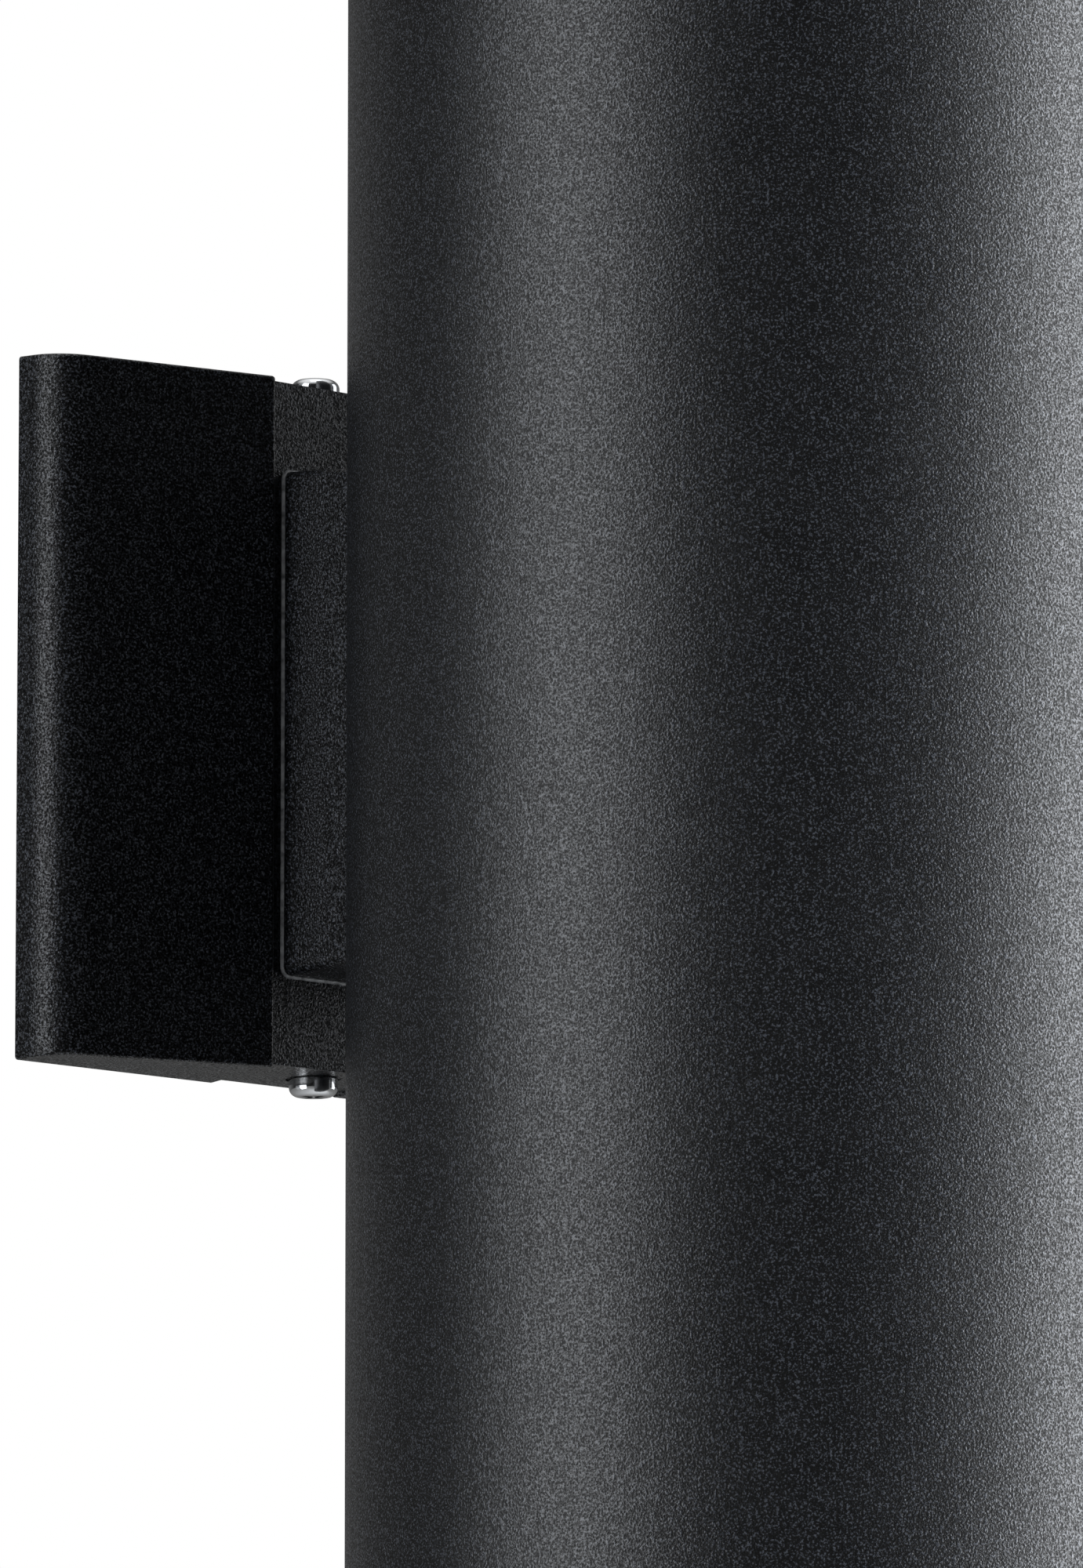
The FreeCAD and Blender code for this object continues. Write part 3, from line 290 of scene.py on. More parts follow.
def zinc_plate(name, colour, roughness):
    """Zinc plate on cold-rolled steel: pale grey, cloudy, with long rolling marks under it."""
    material, tree, place = begin(name, colour, 1.0, roughness)
    cloud = noise(tree, place, 160.0, 4.0)
    across, along = 2600.0, 60.0
    stretch = add(tree, "ShaderNodeMapping", values={"Scale": (across, across, along)},
                  links={"Vector": place})
    rolling = noise(tree, stretch.outputs["Vector"], 1.0, 2.0)
    tint = ramp(tree, cloud, (0.3, shaded(colour, 0.78)), (0.75, shaded(colour, 1.12)))
    return laid(material, Base_Color=tint, Normal=relief(tree, rolling, 0.18, 0.03),
                Roughness=spread(tree, rolling, roughness - 0.1, roughness + 0.14))


def spring_steel():
    """Blued spring steel: straw to blue heat tints over a fine ground strip."""
    material, tree, place = begin("Blued spring steel", linear("6d7076"), 1.0, 0.34)
    heat = noise(tree, place, 55.0, 1.0)
    grind = noise(tree, place, 2400.0, 1.0)
    return laid(material, Base_Color=ramp(tree, heat, (0.35, linear("585c66")), (0.7, linear("837c70"))),
                Roughness=spread(tree, grind, 0.26, 0.44))


def machined_aluminium(colour):
    """Aluminium sawn and milled from bar: bright, with close tool marks across it."""
    material, tree, place = begin("Milled aluminium bar", colour, 1.0, 0.36)
    cutter = bands(tree, place, "X", 320.0, Distortion=1.5, Detail=2.0)
    return laid(material, Roughness=spread(tree, cutter, 0.28, 0.46), Normal=relief(tree, cutter, 0.2, 0.03))


def glazed_porcelain(colour):
    """Pressed porcelain under a clear glaze: creamy white, wet-looking, a little wavy, with rare
    iron specks."""
    material, tree, place = begin("Glazed porcelain", colour, 0.0, 0.22, Coat_Weight=0.6, Coat_Roughness=0.06)
    wave = noise(tree, place, 190.0, 1.0)
    iron = cells(tree, place, 150.0)
    return laid(material, Base_Color=ramp(tree, iron, (0.035, linear("8d8069")), (0.06, colour)),
                Normal=relief(tree, wave, 0.15, 0.2))


def rolled_brass(colour):
    """Brass strip, drawn and rolled: warm and bright, with brown tarnish clouds."""
    material, tree, place = begin("Rolled brass strip", colour, 1.0, 0.24)
    tarnish = noise(tree, place, 210.0, 4.0)
    return laid(material, Base_Color=ramp(tree, tarnish, (0.32, shaded(colour, 0.6)), (0.6, colour)),
                Roughness=spread(tree, tarnish, 0.4, 0.16))


def lamp_cap_metal():
    """Nickel-plated brass lamp cap with a solder tip in a black glass insulator: the height above
    the tip tells which of the three shows."""
    nickel, metal, glass = linear("c4c1b8"), (1, 1, 1, 1), (0, 0, 0, 1)
    insulator, skirt = 0.05, 0.155
    material, tree, place = begin("Nickel-plated lamp cap", nickel, 1.0, 0.22)
    height = add(tree, "ShaderNodeAttribute", attribute_name="cap_height",
                 attribute_type="GEOMETRY").outputs["Fac"]
    zone = ramp(tree, height, (0.0, linear("b8b9ba")), (insulator, linear("0c0c0e")), (skirt, nickel),
                interpolation="CONSTANT")
    metallic = ramp(tree, height, (0.0, metal), (insulator, glass), (skirt, metal), interpolation="CONSTANT")
    smear = noise(tree, place, 300.0, 3.0)
    return laid(material, Base_Color=zone, Metallic=metallic, Roughness=spread(tree, smear, 0.14, 0.34))


def aluminised_glass(colour):
    """Pressed glass bowl with aluminium vacuum-coated on it: a mirror broken by shallow dimples."""
    material, tree, place = begin("Aluminised pressed glass", colour, 1.0, 0.12)
    dimple = cells(tree, place, 330.0, "SMOOTH_F1")
    return laid(material, Roughness=spread(tree, dimple, 0.08, 0.2), Normal=relief(tree, dimple, 0.3, 0.25))


def stippled_glass():
    """Pressed borosilicate front, stippled inside to spread the beam: small round lenslets."""
    material, tree, place = begin("Stippled pressed glass", linear("eef2f1"), 0.0, 0.08,
                                  Transmission_Weight=1.0, IOR=1.47)
    lenslet = cells(tree, place, 420.0, "SMOOTH_F1")
    return laid(material, Roughness=spread(tree, lenslet, 0.04, 0.16), Normal=relief(tree, lenslet, 0.8, 0.5))


def tempered_glass(colour):
    """Float glass cut round, edge-ground and tempered: clear, faintly green, with roller wave."""
    material, tree, place = begin("Tempered float glass", colour, 0.0, 0.02,
                                  Transmission_Weight=1.0, IOR=1.52)
    roller = noise(tree, place, 60.0, 1.0)
    smear = noise(tree, place, 240.0, 5.0)
    return laid(material, Roughness=spread(tree, smear, 0.0, 0.05), Normal=relief(tree, roller, 0.05, 0.2))


def fused_quartz():
    """Fused quartz burner tube, flame-worked: water-clear with slight ripples."""
    material, tree, place = begin("Fused quartz", linear("f8f9fb"), 0.0, 0.02,
                                  Transmission_Weight=1.0, IOR=1.46)
    return laid(material, Normal=relief(tree, noise(tree, place, 260.0, 1.0), 0.12, 0.2))


def tungsten_wire():
    """Drawn tungsten: dark grey and slightly grainy from the draw dies."""
    material, tree, place = begin("Drawn tungsten", linear("5c5d60"), 1.0, 0.4)
    return laid(material, Roughness=spread(tree, noise(tree, place, 5200.0, 1.0), 0.3, 0.55))


def moulded_plastic(name, colour, roughness, grain):
    """Injection-moulded plastic: an even colour with flow clouds and the mould's fine spark grain."""
    material, tree, place = begin(name, colour, 0.0, roughness)
    flow = noise(tree, place, 120.0, 2.0, Distortion=0.6)
    spark = noise(tree, place, 1.0 / (grain * MM), 1.0)
    return laid(material, Base_Color=ramp(tree, flow, (0.0, shaded(colour, 0.9)), (1.0, shaded(colour, 1.1))),
                Normal=relief(tree, spark, 0.2, 0.04))


def enamelled_screw(colour):
    """Green lacquer dipped on a steel screw: glossy, thin and darker where it pooled."""
    material, tree, place = begin("Green lacquered steel", colour, 0.35, 0.28)
    pool = noise(tree, place, 480.0, 2.0)
    tint = ramp(tree, pool, (0.0, shaded(colour, 0.65)), (1.0, shaded(colour, 1.25)))
    return laid(material, Base_Color=tint)


def dress(material, *names):
    """Gives CAD nodes their finish."""
    for name in names:
        piece = NODES[name]
        if not piece.data.materials:
            piece.data.materials.append(material)
        for slot in piece.material_slots:
            slot.material = material


def both(name):
    """The upper and the lower node of a piece."""
    return tuple(side + "_" + name for side, _ in SIDES)


# ---- meshes ----

def placed(name, data):
    """An object of a mesh, lamp or camera, linked to the scene."""
    thing = bpy.data.objects.new(name, data)
    bpy.context.scene.collection.objects.link(thing)
    return thing


def piece_from(mesh, name, material, body, slot, *replaced):
    """Gives a finished mesh its finish and body, and lets it stand for its CAD nodes."""
    mesh.materials.clear()
    mesh.materials.append(material)
    piece = placed(name, mesh)
    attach(piece, body)
    if replaced:
        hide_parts(*replaced)


def mesh_of(solid, name):
    """A bmesh made into a mesh."""
    mesh = bpy.data.meshes.new(name)
    solid.to_mesh(mesh)
    solid.free()
    return mesh


def skinned(name, solid, rings, closed):
    """Mesh of the faces between rings of vertices that follow each other. A ring of one vertex is a
    tip. Closed joins the last ring to the first."""
    pairs = list(zip(rings, rings[1:]))
    if closed:
        pairs.append((rings[-1], rings[0]))
    for low, high in pairs:
        for k in range(max(len(low), len(high))):
            following = (k + 1) % max(len(low), len(high))
            if len(low) == 1:
                solid.faces.new((low[0], high[following], high[k]))
            elif len(high) == 1:
                solid.faces.new((low[k], low[following], high[0]))
            else:
                solid.faces.new((low[k], low[following], high[following], high[k]))
    bmesh.ops.recalc_face_normals(solid, faces=solid.faces)
    return mesh_of(solid, name)


def solids_of(name):
    """The closed solids of a CAD node, each as a merged bmesh of its own."""
    whole = bmesh.new()
    whole.from_mesh(NODES[name].data)
    bmesh.ops.remove_doubles(whole, verts=whole.verts, dist=1e-6)
    left = set(whole.verts)
    groups = []
    while left:
        group = {left.pop()}
        frontier = list(group)
        while frontier:
            vertex = frontier.pop()
            for edge in vertex.link_edges:
                other = edge.other_vert(vertex)
                if other in left:
                    left.discard(other)
                    group.add(other)
                    frontier.append(other)
        groups.append(group)
    solids = []
    for group in groups:
        solid = bmesh.new()
        copies = {vertex: solid.verts.new(vertex.co) for vertex in group}
        for face in whole.faces:
            if face.verts[0] in group:
                solid.faces.new([copies[vertex] for vertex in face.verts])
        solids.append(solid)
    whole.free()
    return solids


def extent(solid, direction):
    """Lowest and highest reach of a solid along a direction."""
    reach = [vertex.co.dot(direction) for vertex in solid.verts]
    return min(reach), max(reach)


def middle_of(solid):
    """Middle of a solid's box."""
    low = Vector([min(vertex.co[k] for vertex in solid.verts) for k in range(3)])
    high = Vector([max(vertex.co[k] for vertex in solid.verts) for k in range(3)])
    return (low + high) / 2


def cut_back(solid, point, away):
    """Removes what lies past a plane and closes the cut."""
    cut = bmesh.ops.bisect_plane(solid, geom=solid.verts[:] + solid.edges[:] + solid.faces[:],
                                 plane_co=point, plane_no=away, clear_outer=True)
    rim = [item for item in cut["geom_cut"] if isinstance(item, bmesh.types.BMEdge)]
    bmesh.ops.holes_fill(solid, edges=rim)


def shade_by_angle(mesh, degrees):
    """Smooth faces whose edges stay sharp where they turn more than an angle."""
    for polygon in mesh.polygons:
        polygon.use_smooth = True
    mesh.set_sharp_from_angle(angle=math.radians(degrees))


def lathe(name, rows, segments, pitch=1.0, closed=False):
    """Revolves rows (radius, height, swell) about Z. A swell winds round as a thread of one start
    with the given pitch. An open outline starts and ends on the axis."""
    solid = bmesh.new()
    rings = []
    for radius, height, swell in rows:
        if radius <= 0:
            rings.append([solid.verts.new((0, 0, height))])
            continue
        ring = []
        for k in range(segments):
            turn = 2 * math.pi * k / segments
            reach = radius + swell * math.cos(2 * math.pi * height / pitch - turn)
            ring.append(solid.verts.new((reach * math.cos(turn), reach * math.sin(turn), height)))
        rings.append(ring)
    return skinned(name, solid, rings, closed)


def arc_rows(centre_r, centre_z, radius, start, end, steps):
    """Rows along an arc of the outline, in degrees from the axis plane."""
    rows = []
    for k in range(steps + 1):
        angle = math.radians(start + (end - start) * k / steps)
        rows.append((centre_r + radius * math.cos(angle), centre_z + radius * math.sin(angle), 0.0))
    return rows


# ---- Geometry Nodes ----

def group_input(tree, sockets):
    """Declares a tree's inputs and its result, and returns the input node."""
    tree.interface.new_socket("Geometry", in_out="INPUT", socket_type="NodeSocketGeometry")
    for name, kind, default in sockets:
        socket = tree.interface.new_socket(name, in_out="INPUT", socket_type=kind)
        if default is not None:
            socket.default_value = default
    tree.interface.new_socket("Geometry", in_out="OUTPUT", socket_type="NodeSocketGeometry")
    return add(tree, "NodeGroupInput")


def reckoned(tree, operation, *terms):
    """Result of an operation on terms that are floats or sockets."""
    numbers = {k: term for k, term in enumerate(terms) if isinstance(term, float)}
    sockets = {k: term for k, term in enumerate(terms) if k not in numbers}
    return add(tree, "ShaderNodeMath", operation=operation, values=numbers, links=sockets).outputs["Value"]


def helix(tree, radius, turns, height, resolution):
    """Coil about Z from the origin up."""
    return add(tree, "GeometryNodeCurveSpiral", values={"Resolution": resolution},
               links={"Rotations": turns, "Start Radius": radius, "End Radius": radius,
                      "Height": height}).outputs["Curve"]


def swept(tree, curve, radius, sides):
    """Closed rod round a curve."""
    section = add(tree, "GeometryNodeCurvePrimitiveCircle", values={"Resolution": sides},
                  links={"Radius": radius})
    return add(tree, "GeometryNodeCurveToMesh", values={"Fill Caps": True},
               links={"Curve": curve, "Profile Curve": section.outputs["Curve"]}).outputs["Mesh"]


def lifted(tree, geometry, height):
    """Geometry moved up by a height."""
    lift = add(tree, "ShaderNodeCombineXYZ", links={"Z": height}).outputs["Vector"]
    return add(tree, "GeometryNodeTransform",
               links={"Geometry": geometry, "Translation": lift}).outputs["Geometry"]


def on_points(tree, given, instance, **links):
    """Ends a tree with one real, painted instance on each point."""
    placed = add(tree, "GeometryNodeInstanceOnPoints",
                 links={"Points": given.outputs["Geometry"], "Instance": instance, **links})
    real = add(tree, "GeometryNodeRealizeInstances", links={"Geometry": placed.outputs["Instances"]})
    painted = add(tree, "GeometryNodeSetMaterial",
                  links={"Geometry": real.outputs["Geometry"], "Material": given.outputs["Material"]})
    add(tree, "NodeGroupOutput", links={"Geometry": painted.outputs["Geometry"]})
    return tree


def thread_tree():
    """Screw shanks with a rolled thread, one on each point, along the point's heading."""
    round_sides, crest_sides = 20, 4
    tip_top, tip_foot, tip_sink, thread_end = 0.75, 0.97, -0.1, -2.5
    tree = bpy.data.node_groups.new("Rolled screw thread", "GeometryNodeTree")
    given = group_input(tree, (("Radius", "NodeSocketFloat", 2.0 * MM),
                               ("Pitch", "NodeSocketFloat", 0.7 * MM),
                               ("Depth", "NodeSocketFloat", 0.4 * MM),
                               ("Length", "NodeSocketFloat", 9.0 * MM),
                               ("Material", "NodeSocketMaterial", None)))
    radius, pitch, depth, length = (given.outputs[name] for name in ("Radius", "Pitch", "Depth", "Length"))
    core_radius = reckoned(tree, "SUBTRACT", radius, depth)
    core_end = reckoned(tree, "SUBTRACT", length, depth)
    ridge_height = reckoned(tree, "MULTIPLY_ADD", depth, thread_end, length)
    turns = reckoned(tree, "DIVIDE", ridge_height, pitch)
    level = add(tree, "GeometryNodeSetCurveNormal", mode="Z_UP",
                links={"Curve": helix(tree, core_radius, turns, ridge_height, round_sides)})
    ridge = swept(tree, level.outputs["Curve"], depth, crest_sides)
    core = add(tree, "GeometryNodeMeshCylinder", values={"Vertices": round_sides},
               links={"Radius": core_radius, "Depth": core_end})
    tip = add(tree, "GeometryNodeMeshCone", values={"Vertices": round_sides},
              links={"Radius Top": reckoned(tree, "MULTIPLY", core_radius, tip_top),
                     "Radius Bottom": reckoned(tree, "MULTIPLY", core_radius, tip_foot), "Depth": depth})
    shank = add(tree, "GeometryNodeJoinGeometry")
    for part, height in ((ridge, depth), (core.outputs["Mesh"], reckoned(tree, "MULTIPLY", core_end, 0.5)),
                         (tip.outputs["Mesh"], reckoned(tree, "MULTIPLY_ADD", depth, tip_sink, core_end))):
        tree.links.new(lifted(tree, part, height), shank.inputs["Geometry"])
    heading = add(tree, "GeometryNodeInputNamedAttribute", data_type="FLOAT_VECTOR",
                  values={"Name": "heading"})
    turn = add(tree, "FunctionNodeAlignRotationToVector", axis="Z",
               links={"Vector": heading.outputs["Attribute"]})
    return on_points(tree, given, shank.outputs["Geometry"], Rotation=turn.outputs["Rotation"])


def coil_tree():
    """A wire coil about Z on each point."""
    round_sides, wire_sides = 14, 6
    tree = bpy.data.node_groups.new("Filament coil", "GeometryNodeTree")
    given = group_input(tree, (("Coil Radius", "NodeSocketFloat", 0.9 * MM),
                               ("Pitch", "NodeSocketFloat", 0.5 * MM),
                               ("Wire Radius", "NodeSocketFloat", 0.1 * MM),
                               ("Length", "NodeSocketFloat", 12.0 * MM),
                               ("Material", "NodeSocketMaterial", None)))
    length = given.outputs["Length"]
    turns = reckoned(tree, "DIVIDE", length, given.outputs["Pitch"])
    coil = helix(tree, given.outputs["Coil Radius"], turns, length, round_sides)
    return on_points(tree, given, swept(tree, coil, given.outputs["Wire Radius"], wire_sides))


def grown(name, points, tree, inputs, headings=None):
    """The plain mesh that a node tree grows on some points."""
    seed = bpy.data.meshes.new(name + " points")
    seed.from_pydata([tuple(point) for point in points], [], [])
    if headings:
        attribute = seed.attributes.new("heading", "FLOAT_VECTOR", "POINT")
        for item, heading in zip(attribute.data, headings):
            item.vector = heading
    holder = placed(name, seed)
    modifier = holder.modifiers.new(name, "NODES")
    modifier.node_group = tree
    for socket in tree.interface.items_tree:
        if socket.in_out == "INPUT" and socket.name in inputs:
            modifier[socket.identifier] = inputs[socket.name]
    bpy.context.view_layer.update()
    result = holder.evaluated_get(bpy.context.evaluated_depsgraph_get())
    mesh = bpy.data.meshes.new_from_object(result)
    bpy.data.objects.remove(holder)
    if not mesh.polygons:
        raise RuntimeError(name + " grew no faces")
    return mesh


def joined(name, solids, meshes):
    """One mesh of some solids and some meshes."""
    whole = bmesh.new()
    for mesh in [mesh_of(solid, name + " part") for solid in solids] + meshes:
        whole.from_mesh(mesh)
    return mesh_of(whole, name)


def threaded_screws(node, heads, head_height, radius, pitch, material):
    """A node's screws with their own heads and a rolled thread on each shank. heads gives the way
    that a screw's head points, from the screw's middle."""
    depth, stub = pitch * 0.54, pitch * 0.5
    solids = solids_of(node)
    points, headings, lengths = [], [], []
    for solid in solids:
        centre = middle_of(solid)
        head = heads(centre)
        low, high = extent(solid, head)
        seat = high - head_height
        base = centre + head * (seat - stub - centre.dot(head))
        cut_back(solid, base, -head)
        points.append(base)
        headings.append(-head)
        lengths.append(seat - stub - low)
    shanks = grown(node + " threads", points, thread_tree(),
                   {"Radius": radius, "Pitch": pitch, "Depth": depth, "Length": min(lengths),
                    "Material": material}, headings)
    mesh = joined(node + "_threaded", solids, [shanks])
    shade_by_angle(mesh, 32)
    return mesh


# ---- operators: one for each piece or group of like pieces ----

def settings(context):
    """The sizes and colours that a user can change."""
    return context.scene.tube_light_sizes, context.scene.tube_light_colours


class TUBELIGHT_OT_castings(bpy.types.Operator):
    """Coat the canopy and the arm, with the bead of coat where they meet"""
    bl_idname = "tubelight.castings"
    bl_label = "Canopy and Arm"

    def execute(self, context):
        sizes, colours = settings(context)
        coat = powder_coat("Powder-coated die casting", colours.coat, sizes.cast_grain, 0.33, 0.7)
        dress(coat, "canopy_cover", "arm_block")
        # The bead's pale grey finish is a painted highlight of the corner at the arm's foot.
        piece_from(self.bead(sizes.coat_bead), "arm_foot_bead", highlight_painted_coat(colours.highlight_painted_coat), "fixture",
                   "black_cast")
        return {"FINISHED"}

    def bead(self, radius):
        """Hollow bead round the arm's foot, where the wet coat draws into the corner."""
        low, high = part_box("arm_block")
        round_off, tuck, steps, corner_steps = 1.5 * MM, 0.1 * MM, 5, 6
        corners = ((high.x, high.z, 0), (low.x, high.z, 90), (low.x, low.z, 180), (high.x, low.z, 270))
        route = []
        for x, z, start in corners:
            centre = Vector((x - math.copysign(round_off, x), 0, z - math.copysign(round_off, z)))
            for k in range(corner_steps + 1):
                turn = math.radians(start + 90 * k / corner_steps)
                outward = Vector((math.cos(turn), 0, math.sin(turn)))
                route.append((centre + outward * round_off, outward))
        section = [(-tuck, radius), (0, radius)]
        for k in range(1, steps):
            turn = math.pi / 2 * k / steps
            section.append((radius * (1 - math.cos(turn)), radius * (1 - math.sin(turn))))
        section += [(radius, 0), (radius, -tuck), (-tuck, -tuck)]
        solid = bmesh.new()
        rings = [[solid.verts.new(point + outward * out + Vector((0, high.y - rise, 0)))
                  for out, rise in section] for point, outward in route]
        mesh = skinned("arm_foot_bead", solid, rings, closed=True)
        shade_by_angle(mesh, 40)
        return mesh


class TUBELIGHT_OT_tube(bpy.types.Operator):
    """Coat the tube"""
    bl_idname = "tubelight.tube"
    bl_label = "Tube"

    def execute(self, context):
        sizes, colours = settings(context)
        coat = powder_coat("Powder-coated extrusion", colours.coat, sizes.sand_grain, 0.51, 0.42)
        dress(coat, "tube_housing")
        return {"FINISHED"}


class TUBELIGHT_OT_gaskets(bpy.types.Operator):
    """Finish the wall gasket and the lens gaskets"""
    bl_idname = "tubelight.gaskets"
    bl_label = "Gaskets"

    def execute(self, context):
        sizes, colours = settings(context)
        dress(closed_cell_foam(colours.foam, sizes.foam_cell), "wall_gasket")
        dress(moulded_rubber(), *both("lens_gasket"))
        return {"FINISHED"}


class TUBELIGHT_OT_canopy_screws(bpy.types.Operator):
    """Thread and plate the two canopy screws"""
    bl_idname = "tubelight.canopy_screws"
    bl_label = "Canopy Screws"

    def execute(self, context):
        sizes, colours = settings(context)
        plate = chrome_plate(colours.chrome)
        head_height, radius = 3.1 * MM, 2.0 * MM
        for side, sign in SIDES:
            node = side + "_mount_screw"
            mesh = threaded_screws(node, lambda middle: Vector((0, 0, sign)), head_height, radius,
                                   sizes.canopy_pitch, plate)
            piece_from(mesh, node + "_threaded", plate, side + "_screw", "chrome", node)
        return {"FINISHED"}


class TUBELIGHT_OT_inner_screws(bpy.types.Operator):
    """Thread the screws of arm, tube, sockets and earth"""
    bl_idname = "tubelight.inner_screws"
    bl_label = "Inner Screws"

    def execute(self, context):
        sizes, colours = settings(context)
        zinc = zinc_plate("Zinc-plated screws", colours.zinc, 0.3)
        green = enamelled_screw(colours.earth)
        into_wall, into_room = Vector((0, 1, 0)), Vector((0, -1, 0))
        # node, heading of a screw at its middle, head height, radius (mm), pitch, finish, slot
        rows = (
            ("arm_screws", lambda middle: into_wall, 3.3, 2.5, sizes.bolt_pitch, zinc, "zinc_steel"),
            ("saddle_bolts", lambda middle: into_room, 3.3, 2.5, sizes.bolt_pitch, zinc, "zinc_steel"),
            ("socket_screws", lambda middle: Vector((0, 0, -1 if middle.z > 0 else 1)), 2.2, 1.75,
             sizes.small_pitch, zinc, "zinc_steel"),
            ("ground_screws", lambda middle: into_room, 2.4, 2.4, sizes.ground_pitch, green, "green_screw"),
        )
        for node, heads, head_height, radius, pitch, material, slot in rows:
            mesh = threaded_screws(node, heads, head_height * MM, radius * MM, pitch, material)
            piece_from(mesh, node + "_threaded", material, "fixture", slot, node)
        return {"FINISHED"}


class TUBELIGHT_OT_metalwork(bpy.types.Operator):
    """Finish strap, bridge, saddle, rings and springs"""
    bl_idname = "tubelight.metalwork"
    bl_label = "Strap, Bridge and Rings"

    def execute(self, context):
        _, colours = settings(context)
        dress(zinc_plate("Zinc-plated sheet", colours.zinc, 0.36), "wall_strap", "socket_bridge",
              *both("lens_retainer"))
        dress(machined_aluminium(colours.aluminium), "tube_saddle")
        dress(spring_steel(), *both("stop_ring"), *both("spring_clips"))
        return {"FINISHED"}


class TUBELIGHT_OT_trims(bpy.types.Operator):
    """Finish the stepped baffles and their lenses"""
    bl_idname = "tubelight.trims"
    bl_label = "Baffles and Lenses"

    def execute(self, context):
        _, colours = settings(context)
        dress(baffle_black(colours.baffle), *both("baffle"))
        dress(tempered_glass(colours.glass), *both("lens"))
        return {"FINISHED"}


def in_metres(rows):
    """Lathe rows given in millimetres."""
    return [tuple(value * MM for value in row) for row in rows]


def inner_end(node, sign):
    """Place and turn of a form that stands on a node's inner end and points out of the tube."""
    low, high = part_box(node)
    start = low.z if sign > 0 else high.z
    turn = Matrix.Rotation(0 if sign > 0 else math.pi, 4, "X")
    return Matrix.Translation(((low.x + high.x) / 2, (low.y + high.y) / 2, start)) @ turn


class TUBELIGHT_OT_sockets(bpy.types.Operator):
    """Finish the porcelain sockets and roll the thread into their shells"""
    bl_idname = "tubelight.sockets"
    bl_label = "Sockets"

    def execute(self, context):
        sizes, colours = settings(context)
        brass = rolled_brass(colours.brass)
        dress(glazed_porcelain(colours.porcelain), *both("socket_body"))
        dress(brass, *both("socket_contact"))
        for side, sign in SIDES:
            node = side + "_socket_shell"
            low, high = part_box(node)
            outer, length = (high.x - low.x) / 2, high.z - low.z
            mid, wall, lip, swell = outer - 0.3 * MM, 0.25 * MM, 1.2 * MM, 0.05 * MM
            steps, around = 72, 64
            heights = [lip + (length - lip) * k / steps for k in range(steps + 1)]
            rows = [(outer - lip, 0, 0), (outer - lip, 2 * wall, 0)]
            rows += [(mid - wall, height, swell) for height in heights]
            rows += [(mid + wall, height, swell) for height in reversed(heights)]
            rows.append((mid + wall, 0, 0))
            mesh = lathe(node + "_rolled", rows, around, sizes.lamp_pitch, closed=True)
            mesh.transform(inner_end(node, sign))
            shade_by_angle(mesh, 40)
            piece_from(mesh, node + "_rolled", brass, "fixture", "brass", node)
        return {"FINISHED"}


